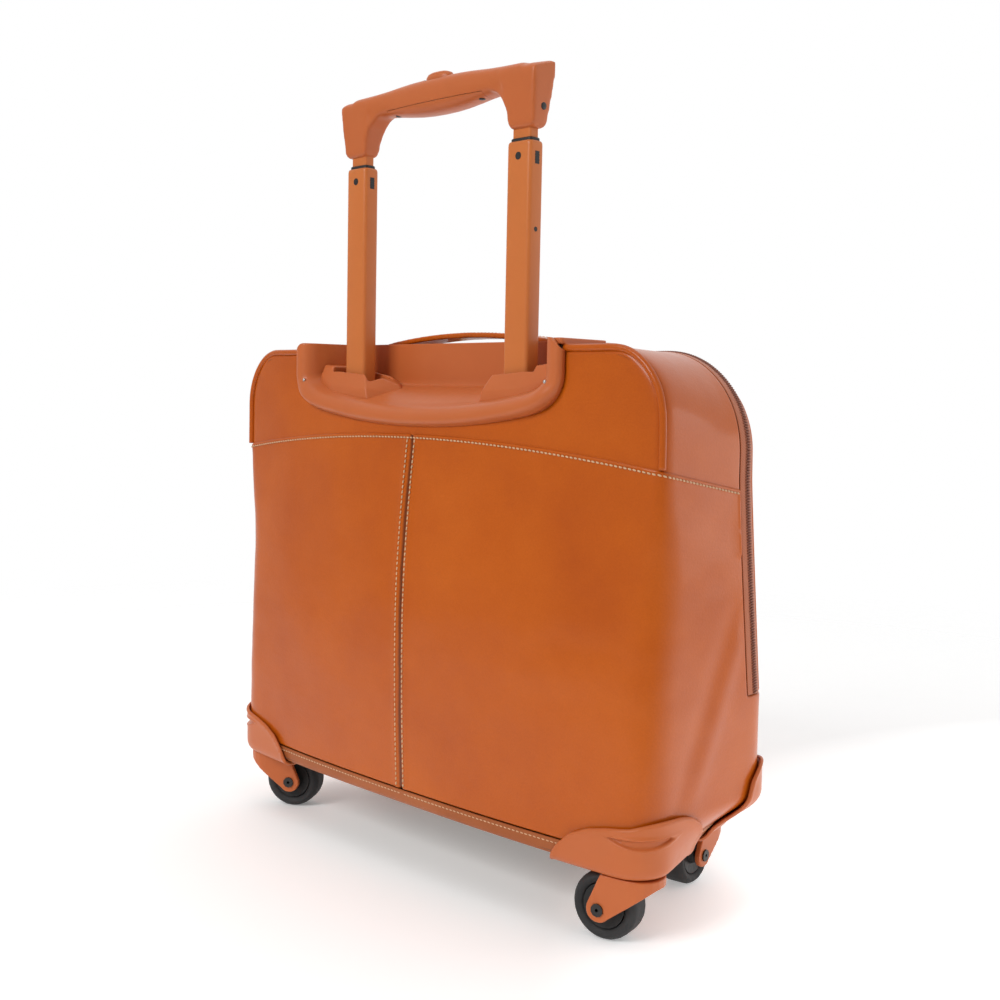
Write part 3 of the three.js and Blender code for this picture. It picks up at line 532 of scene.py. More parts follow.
TAN = ((0.47, 0.09, 0.0035), (0.41, 0.072, 0.003), (0.52, 0.108, 0.006))
DULL_TAN = ((0.34, 0.095, 0.028), (0.27, 0.07, 0.018), (0.4, 0.12, 0.04))
LEATHER = leather_material("leather", *TAN)
# the boot's leather carries a painted shade down the groove of the back seam
BOOT_LEATHER = leather_material("boot_leather", *TAN, seam=(0.085, 0.018, 0.004))
TRIM = leather_material("leather_trim", *DULL_TAN, (0.36, 0.5), 0.1)
PLASTIC = plastic_material("moulded_plastic", (0.47, 0.115, 0.03), (0.53, 0.135, 0.038))
TUBE = plastic_material("tube_paint", (0.53, 0.15, 0.035), (0.58, 0.168, 0.042), (0.26, 0.36), 0.06)
BLACK = plastic_material("black_plastic", (0.012, 0.012, 0.012), (0.03, 0.029, 0.028), (0.35, 0.55), 0.15)
TYRE = plastic_material("tyre_rubber", (0.018, 0.018, 0.019), (0.045, 0.044, 0.044), (0.55, 0.75), 0.4)
STEEL = metal_material("steel", (0.62, 0.61, 0.6), (0.4, 0.39, 0.38))
BRASS = metal_material("brass", (0.7, 0.46, 0.2), (0.45, 0.27, 0.1))
TAPE = fabric_material("zip_tape", (0.52, 0.15, 0.055), (0.36, 0.09, 0.03))
COIL = plastic_material("zip_coil", (0.17, 0.05, 0.028), (0.24, 0.075, 0.04), (0.35, 0.5), 0.1)
RIVET = metal_material("dark_rivet", (0.06, 0.058, 0.056), (0.03, 0.03, 0.03), (0.3, 0.45), 0.8)
LINING = fabric_material("lining", (0.16, 0.1, 0.06), (0.07, 0.04, 0.025))
BOARD = plastic_material("board", (0.1, 0.075, 0.05), (0.15, 0.11, 0.08), (0.6, 0.8), 0.3)
THREAD = fabric_material("thread", (0.80, 0.55, 0.32), (0.6, 0.36, 0.18), 5000.0, 0.6)

# ---------- leather panels ----------


def rounded_distance(a, b):
    """Distance outside the quarter plane where a and b are below zero, round its corner."""
    return np.hypot(np.maximum(a, 0), np.maximum(b, 0)) + np.minimum(np.maximum(a, b), 0)


def arch_above(p):
    """Height over the boot's top edge."""
    return p[:, 2] - stitch_height(p[:, 0], p[:, 1])


def behind_zip(p):
    """Above zero behind the zip's rear tape, and everywhere under the zip's lower ends."""
    back = zip_depth(p[:, 2]) - ZIP_BAND - 0.3 - p[:, 1]
    return np.maximum(back, ZIP_END - p[:, 2])


def tray_hole(p):
    """Above zero outside the tray's outline, on the back and the top."""
    x, z = np.abs(p[:, 0]), p[:, 2]
    low = 330 + 11 * np.clip(x / 112, 0, 1) ** 2 + 26 * np.clip((x - 112) / 28, 0, 1) ** 2.4
    return np.maximum(np.maximum(low - z, x - 140), p[:, 1] - 46.3)


def piping_line(p):
    """Below zero on the back face, above zero round its piped edge, where the gusset starts."""
    x, d, z = p[:, 0], p[:, 1], p[:, 2]
    ax, az = np.abs(x) - (HALF_BACK - BACK_CORNER), z - (TOP - BACK_CORNER)
    inside = BACK_CORNER - rounded_distance(ax, az)
    ease = EASE * step(z, 90, STITCH_SIDE) * np.minimum(1, np.abs(x) / HALF_BACK) ** 2.2
    return 0.7 * ((d - ease) - inside)


def lid_region(p):
    """Above zero in front of the zip's front tape."""
    return np.minimum(p[:, 1] - zip_depth(p[:, 2]) - ZIP_BAND - 0.3, p[:, 2] - ZIP_END - 0.6)


def boot_relief(p, distance):
    """The seam down the back, the turned hem, soft dents, and folds on the sides."""
    x, d, z = p[:, 0], p[:, 1], p[:, 2]
    on_back = np.clip(1 - d / 12, 0, 1)
    seam = -1.5 * np.exp(-((x / 1.5) ** 2)) + 0.7 * np.exp(-(((np.abs(x) - 3.8) / 2.4) ** 2))
    hem = -0.5 * np.exp(-(((distance - 3.2) / 1.1) ** 2)) * (z > 250)
    soft = 1.3 * fractal(p, 85, 3.1) + 0.5 * fractal(p, 32, 8.7, (1, 1, 1.6))
    low = np.clip((250 - z) / 150, 0, 1)
    folds = 0.9 * low * fractal(p, 46, 5.5, (0.5, 0.5, 1.8)) * np.clip(np.abs(x) / 160, 0, 1)
    pull = 0.5 * np.clip(distance / 10, 0, 1)
    on_side = step(d, 22, 40) * step(np.abs(x), 200, 212)
    off_fold = (d - 46 - 0.445 * (z - 95)) * 0.914
    reach = step(z, 60, 120) * step(-z, -235, -190) * on_side
    folds = folds + reach * (
        2.2 * np.exp(-(((off_fold - 4) / 9) ** 2)) - 1.3 * np.exp(-(((off_fold + 11) / 10) ** 2))
    )
    fold_over = 0.8 * np.exp(-((distance / 6) ** 2)) * (z > 250)
    return seam * on_back + hem + fold_over + (soft + folds) * pull - 0.6


def upper_relief(p, distance):
    soft = 0.7 * fractal(p, 60, 1.7)
    return soft * np.clip(distance / 10, 0, 1) - 1.2


def lid_relief(p, distance):
    hem = -0.5 * np.exp(-(((distance - 3.2) / 1.1) ** 2))
    return hem + (1.4 * fractal(p, 90, 6.4) + 0.4 * fractal(p, 30, 2.2)) * np.clip(distance / 14, 0, 1) - 0.5


panel(
    "Boot", "case", [BOOT_LEATHER, LINING],
    [lambda p: -arch_above(p), behind_zip, lambda p: p[:, 2] - STRIP_TOP - 0.3],
    thick=3.0, roll=2.0, relief=boot_relief, replaced=["lower_boot"],
)
panel(
    "BackPanel", "case", [LEATHER, LINING],
    [lambda p: arch_above(p) + 1.5, lambda p: -piping_line(p), tray_hole],
    thick=3.0, roll=1.0, relief=upper_relief, replaced=["back_panel"],
)
panel(
    "Gusset", "case", [LEATHER, LINING],
    [lambda p: arch_above(p) + 1.5, behind_zip, piping_line, tray_hole],
    thick=3.0, roll=1.0, relief=upper_relief, replaced=["side_gusset"],
)
panel(
    "FrontLid", "lid", [LEATHER, LINING],
    [lid_region], thick=3.0, roll=2.0, relief=lid_relief, replaced=["front_lid"],
)
panel(
    "BottomStrip", "case", [TRIM, LINING],
    [lambda p: STRIP_TOP - p[:, 2], lambda p: p[:, 2] - BOTTOM],
    thick=3.0, roll=1.2, offset=-0.2, replaced=["bottom_strip"],
)


def pocket_region(p):
    """Inside the front pocket's rounded outline."""
    x = np.abs(p[:, 0]) - (POCKET_X - POCKET_CORNER)
    z = np.abs(p[:, 2] - POCKET_MIDDLE) - (POCKET_Z - POCKET_CORNER)
    return np.minimum(POCKET_CORNER - rounded_distance(x, z), p[:, 1] - 118)


def pocket_relief(p, distance):
    return 0.9 * np.clip(distance / 16, 0, 1) * (1 + 0.5 * fractal(p, 50, 4.2))


panel(
    "FrontPocket", "lid", [LEATHER, LINING],
    [pocket_region], offset=2.9, thick=2.2, roll=1.8, relief=pocket_relief, replaced=["front_pocket"],
)


def tape(name, body, node, near, far):
    """One side of the zip's tape, between two distances from its middle."""
    panel(
        name, body, [TAPE, TAPE],
        [
            lambda p: p[:, 1] - zip_depth(p[:, 2]) - near,
            lambda p: zip_depth(p[:, 2]) + far - p[:, 1],
            lambda p: p[:, 2] - ZIP_END - 0.3,
        ],
        offset=-1.0, thick=1.2, roll=0.5, replaced=[node],
    )


tape("TapeBody", "case", "zip_tape_body", -ZIP_BAND + 0.1, -0.1)
tape("TapeLid", "lid", "zip_tape_lid", 0.1, ZIP_BAND - 0.1)

# ---------- corner guards ----------


def soft_min(values, k):
    """The smallest of some values, rounded where two meet."""
    values = np.array(values)
    low = values.min(axis=0)
    return low - k * np.log(np.exp(-(values - low) / k).sum(axis=0))


def guard_region(side, back):
    """Inside the outline of one corner guard."""

    def bound(p):
        x, d, z = side * p[:, 0], p[:, 1], p[:, 2]
        if back:
            across = np.interp(
                x, [138, 144, 152, 162, 175, 190, 206, 219], [40, 50, 61, 70, 76, 79.5, 82, 87]
            )
            along = np.interp(d, [0, 17, 34, 47, 58, 66, 69], [89, 88.5, 87, 83.5, 78, 70, 60])
            return soft_min([across - z, along - z, 68 - d, x - 138], 1.6)
        across = np.interp(x, [96, 102, 112, 124, 140, 160, 190, 219], [40, 52, 66, 76, 83, 87, 92, 130])
        along = np.interp(d, [108, 115, 124, 134, 150, 166, 200], [112, 112, 107, 106, 101, 94, 90])
        start = np.interp(z, [40, 55, 66, 76, 94, 102, 106], [93, 99, 104, 107.5, 114, 122, 130])
        front_side = np.where(d > 150, across - z, 60)
        return soft_min([along - z, d - start, front_side, x - 96], 1.6)

    return bound


def guard_almond(back):
    """Inside an almond-shaped recess, along the guard's face."""

    def inside(p):
        x, d, z = np.abs(p[:, 0]), p[:, 1], p[:, 2]
        if back:
            run, middle, half = (x - HALF_BACK) + np.maximum(d, 0), 72.5, 31.0
        else:
            run, middle, half = x - 118, 73.0, 26.0
        share = np.clip(run / half, -1.2, 1.2)
        return np.minimum(middle + 2.6 + 0.8 * share - z, z - middle + 6.2 * (1 - share**2) - 2.6)

    return inside


def guard_relief(back):
    """A bead round the guard's edge, and its sunk almond with a lip."""
    almond = guard_almond(back)

    def relief(p, distance):
        bead = 0.7 * np.exp(-(((distance - 1.9) / 1.1) ** 2))
        within = almond(p)
        sunk = -1.9 * step(within, 0.0, 0.9)
        lip = 0.55 * np.exp(-(((within + 0.7) / 0.6) ** 2))
        return bead + sunk + lip

    return relief


for place, (_, side) in zip(CORNERS, SIDES * 2):
    back = place.startswith("back")
    panel(
        "Guard_" + place, "case", [PLASTIC, PLASTIC],
        [guard_region(side, back)], offset=3.0, thick=2.6, roll=1.6,
        relief=guard_relief(back), replaced=["corner_guard_" + place],
        creases=[(guard_almond(back), (-1.6, -0.7, -0.2, 0.2, 0.6, 0.9))],
    )

# ---------- lines on the surface ----------

WALL_ROWS = list(range(CAP_ROWS, ROWS - CAP_ROWS))


def column_line(value, columns):
    """Where value crosses zero up each column: points and normals, in millimetres."""
    rows = WALL_ROWS
    values = value(GRID[rows].reshape(-1, 3)).reshape(len(rows), COLS)
    points, normals = [], []
    for c in columns:
        column = values[:, c]
        crossing = np.nonzero((column[:-1] < 0) & (column[1:] >= 0))[0]
        if len(crossing) == 0:
            continue
        k = crossing[-1]
        t = column[k] / (column[k] - column[k + 1])
        points.append(GRID[rows[k], c] * (1 - t) + GRID[rows[k + 1], c] * t)
        normals.append(NORMAL[rows[k], c] * (1 - t) + NORMAL[rows[k + 1], c] * t)
    return np.array(points), np.array(normals)


def resample(points, normals, pitch):
    """Even steps along a line, with the tangent at each."""
    length = np.concatenate([[0], np.cumsum(np.linalg.norm(np.diff(points, axis=0), axis=1))])
    count = max(2, int(length[-1] / pitch))
    at = (np.arange(count) + 0.5) * length[-1] / count

    def sampled(where, values):
        return np.column_stack([np.interp(where, length, values[:, i]) for i in range(3)])

    place, normal = sampled(at, points), sampled(at, normals)
    tangent = sampled(at + 0.4 * pitch, points) - sampled(at - 0.4 * pitch, points)
    tangent /= np.maximum(np.linalg.norm(tangent, axis=1, keepdims=True), 1e-9)
    normal /= np.maximum(np.linalg.norm(normal, axis=1, keepdims=True), 1e-9)
    return place, normal, tangent


def bar_faces(base, rings, around):
    """Faces of a closed bar through rings of points that start at index base."""
    faces = []
    for i in range(rings - 1):
        for k in range(around):
            a, b = base + i * around + k, base + i * around + (k + 1) % around
            faces.append((a, b, b + around, a + around))
    faces.append(tuple(base + k for k in range(around))[::-1])
    faces.append(tuple(base + (rings - 1) * around + k for k in range(around)))
    return faces


def beads(name, body, material, runs, length, width, height, lift, tilt=0.0):
    """Many small rounded bars, lying along lines on the surface: stitches, or a zip's teeth."""
    rings, around = 5, 7
    verts, faces = [], []
    for place, normal, tangent in runs:
        for p, n, t in zip(place, normal, tangent):
            across = np.cross(n, t)
            t = t * math.cos(tilt) + across * math.sin(tilt)
            across = np.cross(n, t)
            base = len(verts)
            for i in range(rings):
                u = -1 + 2 * i / (rings - 1)
                size = math.sqrt(max(0.06, 1 - abs(u) ** 3))
                for k in range(around):
                    a = 2 * math.pi * k / around
                    verts.append(
                        p + t * (u * length / 2)
                        + across * (math.cos(a) * size * width / 2)
                        + n * (lift + math.sin(a) * size * height / 2)
                    )
            faces += bar_faces(base, rings, around)
    obj = mesh_object(name, to_world(np.array(verts)), faces, [material])
    tidy_mesh(obj, 1e-6)
    return finish_piece(obj, body)


def cord_along(name, body, slot_name, material, points, normals, radius, lift, replaced):
    """A round cord that follows a line on the surface, its ends closed."""
    place, normal, tangent = resample(points, normals, 2.0)
    around = 10
    verts = []
    for p, n, t in zip(place, normal, tangent):
        across = np.cross(n, t)
        for k in range(around):
            a = 2 * math.pi * k / around
            verts.append(p + across * (math.cos(a) * radius) + n * (lift + math.sin(a) * radius))
    faces = bar_faces(0, len(place), around)
    obj = mesh_object(name, to_world(np.array(verts)), faces, [material])
    tidy_mesh(obj, 1e-6)
    return finish_piece(obj, body, replaced)


FRONT_COLUMNS = range(105, COLS - 104)
WALL_HEIGHTS = np.array([GRID[r, COLS // 2, 2] for r in WALL_ROWS])


def on_front(points):
    """Points and normals of the front face at given (x, z)."""
    found, normals = [], []
    for x, z in points:
        upper = int(np.clip(np.searchsorted(WALL_HEIGHTS, z), 1, len(WALL_HEIGHTS) - 1))
        share = (z - WALL_HEIGHTS[upper - 1]) / (WALL_HEIGHTS[upper] - WALL_HEIGHTS[upper - 1])
        blend, leaning = 0.0, np.zeros(3)
        for index, weight in ((upper - 1, 1 - share), (upper, share)):
            row = WALL_ROWS[index]
            xs = GRID[row, FRONT_COLUMNS, 0]
            order = np.argsort(xs)
            blend += weight * np.interp(x, xs[order], GRID[row, FRONT_COLUMNS, 1][order])
            for i in range(3):
                leaning[i] += weight * np.interp(x, xs[order], NORMAL[row, FRONT_COLUMNS, i][order])
        found.append((x, blend, z))
        normals.append(leaning / np.linalg.norm(leaning))
    return np.array(found), np.array(normals)


BACK_COLUMNS = 98  # columns from the middle of the back to the zip


def around_back(value):
    """A line right round the back and the sides, from one zip to the other."""
    columns = list(range(COLS - BACK_COLUMNS, COLS)) + list(range(0, BACK_COLUMNS + 1))
    return column_line(value, columns)


hem_points, hem_normals = around_back(lambda p: arch_above(p) + 3.0)
clear_of_zip = hem_points[:, 1] < zip_depth(hem_points[:, 2]) - 11
strip_line = column_line(lambda p: p[:, 2] - STRIP_TOP + 2.6, range(COLS))
seam_rows = [r for r in WALL_ROWS if STRIP_TOP + 2 < GRID[r, 0, 2] < STITCH_MIDDLE - 3.5]
runs = [resample(hem_points[clear_of_zip], hem_normals[clear_of_zip], 3.5)]
for _, side in SIDES:
    points = GRID[seam_rows, 0].copy()
    points[:, 0] = side * 3.9
    runs.append(resample(points, NORMAL[seam_rows, 0], STRIDE))
beads("StitchesBoot", "case", THREAD, runs, STITCH, 1.25, 0.9, 0.2, 0.16)
strip_run = resample(*strip_line, STRIDE)
beads("StitchesStrip", "case", THREAD, [strip_run], STITCH, 0.85, 0.6, -0.25, 0.1)


def rounded_path(cx, cz, w, h, r):
    """A closed rounded rectangle in (x, z)."""
    points = []
    for k in range(4):
        x, z = cx + (w / 2 - r) * (1, -1, -1, 1)[k], cz + (h / 2 - r) * (1, 1, -1, -1)[k]
        for a in np.linspace(k * math.pi / 2, (k + 1) * math.pi / 2, 9):
            points.append((x + r * math.cos(a), z + r * math.sin(a)))
    return points + points[:1]


corners = rounded_path(0, POCKET_MIDDLE, 259, 125, 17)
pocket_path = []
for (x0, z0), (x1, z1) in zip(corners, corners[1:]):
    steps = max(1, int(math.hypot(x1 - x0, z1 - z0) / 6))
    pocket_path += [(x0 + (x1 - x0) * k / steps, z0 + (z1 - z0) * k / steps) for k in range(steps)]
pocket_run = resample(*on_front(pocket_path + pocket_path[:1]), STRIDE)
beads("StitchesPocket", "lid", THREAD, [pocket_run], STITCH, 0.95, 0.7, 3.1, 0.1)


PIPING_COLUMN = 62  # the grid's column up the back panel's edge
PIPING_DROP = 7  # rows between the piping along the top and the top itself
PIPING_END = 137.5  # the x where the piping goes under the tray's rim


def piping_path(side):
    """Up the back panel's edge from the boot, round the corner and in to the tray."""
    corner = PIPING_COLUMN if side > 0 else COLS - PIPING_COLUMN
    rows = [r for r in WALL_ROWS if GRID[r, corner, 2] > STITCH_SIDE - 3]
    top = rows[-1] - PIPING_DROP
    points = list(GRID[rows[:-PIPING_DROP], corner])
    normals = list(NORMAL[rows[:-PIPING_DROP], corner])
    for step_in in range(1, PIPING_COLUMN - 18):
        c = corner - step_in if side > 0 else corner + step_in
        if abs(GRID[top, c, 0]) > PIPING_END:
            points.append(GRID[top, c])
            normals.append(NORMAL[top, c])
    points, normals, _ = resample(np.array(points), np.array(normals), 2.0)
    for _ in range(36):
        points[1:-1] = (points[:-2] + 2 * points[1:-1] + points[2:]) / 4
    flat, leaning = GRID.reshape(-1, 3), NORMAL.reshape(-1, 3)
    near = np.array([np.argmin(((flat - p) ** 2).sum(axis=1)) for p in points])
    normals = leaning[near]
    points = points + normals * ((flat[near] - points) * normals).sum(axis=1)[:, None]
    for _ in range(4):
        points[1:-1] = (points[:-2] + 2 * points[1:-1] + points[2:]) / 4
        normals[1:-1] = (normals[:-2] + 2 * normals[1:-1] + normals[2:]) / 4
    return points, normals


for place, side in SIDES:
    cord_along(
        "Piping_" + place, "case", "leather_trim", LEATHER, *piping_path(side), 2.4, 0.2,
        ["back_piping_" + place],
    )


def zip_path():
    """Along the middle of the zip, from one lower end over the top to the other."""
    heights = np.linspace(ZIP_END + 1, TOP - ZIP_CORNER, 90)
    turns = np.linspace(0, math.pi / 2, 40)[1:]
    heights = np.concatenate([heights, TOP - ZIP_CORNER + ZIP_CORNER * np.sin(turns)])
    half = np.column_stack([zip_half(heights), zip_depth(heights), heights])
    top = np.array([[x, ZIP_DEPTH, TOP] for x in np.linspace(half[-1, 0], -half[-1, 0], 60)[1:-1]])
    path = np.vstack([half, top, (half * [-1, 1, 1])[::-1]])
    tangent = np.gradient(path, axis=0)
    normal = np.column_stack([tangent[:, 2], np.zeros(len(path)), -tangent[:, 0]])
    normal /= np.linalg.norm(normal, axis=1, keepdims=True)
    return path, normal


zip_points, zip_normals = zip_path()
if (zip_normals[0] * zip_points[0])[0] < 0:
    zip_normals = -zip_normals
place, normal, tangent = resample(zip_points, zip_normals, 0.95)
sideways = np.cross(normal, tangent)
for name, body, first, shift in (("CoilBody", "case", 0, -1.1), ("CoilLid", "lid", 1, 1.1)):
    pick = slice(first, None, 2)
    centre = place[pick] + [0, shift, 0]
    run = (centre, normal[pick], sideways[pick])
    beads(name, body, COIL, [run], 3.6, 1.25, 1.5, -0.9, 0.12)

# ---------- moulded pieces ----------


def evaluated(obj):
    """Applies an object's modifiers."""
    graph = bpy.context.evaluated_depsgraph_get()
    made = bpy.data.meshes.new_from_object(obj.evaluated_get(graph))
    obj.modifiers.clear()
    obj.data = made
    return obj


def remeshed(obj, voxel):
    remesh = obj.modifiers.new("Remesh", "REMESH")
    remesh.mode = "VOXEL"
    remesh.voxel_size = voxel


def softened(obj, voxel, rounds):
    """Remeshes a closed mesh and rounds its edges."""
    remeshed(obj, voxel)
    smooth = obj.modifiers.new("Smooth", "SMOOTH")
    smooth.factor = 0.5
    smooth.iterations = rounds
    evaluated(obj)
    obj.data.shade_smooth()
    return obj


def moulded(name, node, body, material, voxel=0.0008, rounds=5):
    """A CAD node's shape with softly rounded edges."""
    obj = softened(placed(name, nodes[node].data.copy()), voxel, rounds)
    return finish_piece(obj, body, [node], material)


def hull(points):
    """The convex hull of some points, as a bmesh."""
    bm = bmesh.new()
    for p in points:
        bm.verts.new(p)
    bmesh.ops.convex_hull(bm, input=bm.verts)
    return bm


def joined(name, shapes):
    """One object from several bmeshes, in millimetres in the (x, depth, z) frame."""
    verts, faces = [], []
    for bm in shapes:
        bm.verts.ensure_lookup_table()
        bm.verts.index_update()
        base = len(verts)
        verts += [tuple(v.co) for v in bm.verts]
        faces += [tuple(v.index + base for v in f.verts) for f in bm.faces]
        bm.free()
    whole = bpy.data.meshes.new(name)
    whole.from_pydata([tuple(v) for v in to_world(np.array(verts))], [], faces)
    bm = bmesh.new()
    bm.from_mesh(whole)
    bmesh.ops.recalc_face_normals(bm, faces=bm.faces)
    bm.to_mesh(whole)
    bm.free()
    return placed(name, whole)


def tray_rim(count=120):
    """The tray's outer edge from one top end down and round to the other, with its inward normals."""
    curve = []
    bends = [
        ((140, TRAY_TOP), (140, 378), (140, 366)),
        ((140, 366), (138, 347), (112, 341)),
        ((112, 341), (60, 330), (0, 330)),
    ]
    for p0, p1, p2 in bends:
        for t in np.linspace(0, 1, 60)[:-1]:
            u = 1 - t
            curve.append([u**2 * a + 2 * t * u * b + t * t * c for a, b, c in zip(p0, p1, p2)])
    half = np.array(curve)
    whole = np.vstack([half, [[0, 330]], (half * [-1, 1])[::-1]])
    for _ in range(6):
        whole[1:-1] = 0.5 * whole[1:-1] + 0.25 * (whole[:-2] + whole[2:])
    length = np.concatenate([[0], np.cumsum(np.linalg.norm(np.diff(whole, axis=0), axis=1))])
    at = np.linspace(0, length[-1], 2 * count + 1)
    rim = np.column_stack([np.interp(at, length, whole[:, i]) for i in range(2)])
    tangent = np.gradient(rim, axis=0)
    tangent /= np.linalg.norm(tangent, axis=1, keepdims=True)
    return rim, np.column_stack([tangent[:, 1], -tangent[:, 0]])


def tray_surface():
    """The tray as one sheet: a rounded lip all round, a sloping floor and an upright back wall."""
    rim, inward = tray_rim()
    if inward[0, 0] > 0:
        inward = -inward
    below = step(-rim[:, 1], -362, -345)
    profile = [  # (inwards from the rim, depth up the sides, depth along the lower lip)
        (-1.6, 2.5, 2.5), (-1.0, -0.6, -1.6), (0.5, -2.3, -4.2), (1.7, -3.0, -5.8), (3.6, -3.3, -6.7),
        (6.0, -3.2, -6.6), (8.4, -2.6, -5.6), (10.6, -1.4, -3.8), (12.4, 0.4, -1.4), (13.8, 2.6, 1.6),
        (15.0, 5.4, 5.2),
    ]
    rings = []
    for along, wing, lip in profile:
        depth = wing + (lip - wing) * below
        level = TRAY_TOP - 6.0 * (1 - min(1.0, along / 9.0)) ** 2
        points = rim + inward * along
        rings.append(np.column_stack([points[:, 0], depth, np.minimum(points[:, 1], level)]))
    last = rings[-1]
    end_x = last[:, 0] * 117.0 / 125.0
    floor_z = last[:, 2] + 3
    end_z = 0.5 * (floor_z + 357 + np.sqrt((floor_z - 357) ** 2 + 60))
    end_z = np.minimum(end_z, TRAY_TOP)
    end = np.column_stack([end_x, np.full(len(end_x), 38.5), end_z])
    for t in np.linspace(0, 1, 12)[1:]:
        ring = last * (1 - t) + end * t
        ring[:, 2] += 1.6 * math.sin(math.pi * t) * below
        rings.append(ring)
    for reach, depth in ((0.5, 40.4), (1.6, 41.6), (3.2, 42.0)):
        ring = end.copy()
        ring[:, 0] -= np.sign(end_x) * reach * (1 - below)
        ring[:, 2] = np.minimum(ring[:, 2] + reach * below, TRAY_TOP)
        ring[:, 1] = depth
        rings.append(ring)
    rings = np.array(rings)
    count, width = rings.shape[:2]
    verts = list(rings.reshape(-1, 3))
    starts = [i * width + k for i in range(count - 1) for k in range(width - 1)]
    faces = [(a, a + 1, a + 1 + width, a + width) for a in starts]
    middle = width // 2
    across = 20
    base = (count - 1) * width
    flat = int(np.argmax(np.abs(rings[-1][middle:, 0]) > 92))
    faces.append(tuple(range(base + middle - flat, base + middle + flat + 1)))
    previous = None
    for k in range(flat, middle + 1):
        left, right = base + middle - k, base + middle + k
        row = [left]
        for j in range(1, across):
            verts.append(verts[left] + (verts[right] - verts[left]) * j / across)
            row.append(len(verts) - 1)
        row.append(right)
        if previous is None:
            faces[-1] = faces[-1] + tuple(row[-2:0:-1])
        else:
            faces += [(previous[j], previous[j + 1], row[j + 1], row[j]) for j in range(across)]
        previous = row
    return np.array(verts), faces


def tube_opening(p):
    """Outside the openings in the tray's floor that the tubes come up through."""
    x, d = np.abs(np.abs(p[:, 0]) - 88.8) - 20.2, np.abs(p[:, 1] - 20.0) - 10.7
    return np.maximum(np.maximum(x, d), p[:, 2] - 380)


tray_verts, tray_faces = tray_surface()
tray_verts, tray_faces = used_only(*cut(tray_verts, tray_faces, tube_opening(tray_verts)))
tray = mesh_object("Tray", to_world(tray_verts), tray_faces, [PLASTIC])
tidy_mesh(tray)
if sum(p.normal.y * p.area for p in tray.data.polygons) < 0:
    tray.data.flip_normals()
walled(tray, TRAY_WALL)
finish_piece(tray, "case", ["handle_tray"])


def block(x, d, z, side=1):
    """A box, from its ranges in millimetres."""
    return hull([(side * i, j, k) for i in x for j in d for k in z])


DECK = (386.6, TRAY_TOP - 0.2)
deck_plan = [(129.5, 0.0), (126.5, 6), (118.2, 40), (118.2, 46), (140.2, 46), (140.2, 1.5), (138.5, 0.0)]
deck_plates = [block((-140.2, 140.2), (42.6, 46.0), DECK)]
for _, side in SIDES:
    deck_plates.append(hull([(side * x, d, z) for x, d in deck_plan for z in DECK]))
    deck_plates.append(block((136.8, 141.5), (4.5, 40), (364, 386), side))
deck = softened(joined("TrayDeck", deck_plates), 0.0009, 4)
finish_piece(deck, "case", ["handle_tray"], PLASTIC)


def cut_out(obj, shape):
    """Takes a bmesh, in millimetres, out of a closed mesh."""
    box = joined("Box", [shape])
    less = obj.modifiers.new("Less", "BOOLEAN")
    less.operation = "DIFFERENCE"
    less.object = box
    less.solver = "EXACT"
    less.use_self = True
    evaluated(obj)
    bpy.data.objects.remove(box)


BEZEL_RINGS = (
    ((60.5, 4.5, 347), (44, 28, 352), (54, 38, 353), (122, 38, 355), (122, 8, 355), (100, 3.5, 350)),
    ((63, 5, 356), (49, 27.5, 359), (57, 37, 360), (121.5, 37.5, 366), (121.5, 8, 366), (104, 5, 358)),
    ((69.5, 9.9, 368.5), (62, 27, 365), (66, 34, 366), (120, 36, 374.5), (120, 11, 374.5), (100, 9.5, 370)),
)
BEZEL_OUTER = 108
BEZEL_CUTS = (  # levels of (z, inner x, near, far) that clear the grip when it is stowed
    ((330, 73.0, 10.9, 29.0), (400, 73.0, 10.9, 29.0)),
    ((352, 73.0, 10.9, 29.0), (358.4, 69.0, 10.2, 30.0), (400, 69.0, 8.4, 33.4)),
    ((358.4, 69.0, 10.2, 30.0), (365.4, 58.5, 9.7, 31.2), (400, 58.5, 8.4, 33.4)),
)
for place, side in SIDES:
    bezel = joined("TrayBezel_" + place, [
        hull([(side * x, d, z) for x, d, z in lower + upper])
        for lower, upper in zip(BEZEL_RINGS, BEZEL_RINGS[1:])
    ])
    for levels in BEZEL_CUTS:
        cut_out(bezel, hull([
            (side * x, d, z)
            for z, inner, near, far in levels for x in (inner, BEZEL_OUTER) for d in (near, far)
        ]))
    softened(bezel, 0.0007, 9)
    finish_piece(bezel, "case", ["tray_bezel_" + place], PLASTIC)
for place in CORNERS:
    moulded(
        "Fork_" + place, "caster_fork_" + place, "caster_" + place, PLASTIC, 0.0006, 5,
    )

# ---------- grip ----------


def section(x, low, high, near, far, power=2.7, count=28):
    """A rounded outline across the bar at one x."""
    points = []
    for k in range(count):
        a = 2 * math.pi * k / count
        c, s = math.cos(a), math.sin(a)
        d = (near + far) / 2 + (far - near) / 2 * math.copysign(abs(c) ** (2 / power), c)
        z = (low + high) / 2 + (high - low) / 2 * math.copysign(abs(s) ** (2 / power), s)
        points.append((x, d, z))
    return points


def slab(side, levels):
    """A block through rectangles given as (inner x, outer x, near, far, height behind, height in front)."""
    corners = []
    for x0, x1, d0, d1, behind, ahead in levels:
        corners += [(side * x, d, z) for x in (x0, x1) for d, z in ((d0, behind), (d1, ahead))]
    return hull(corners)


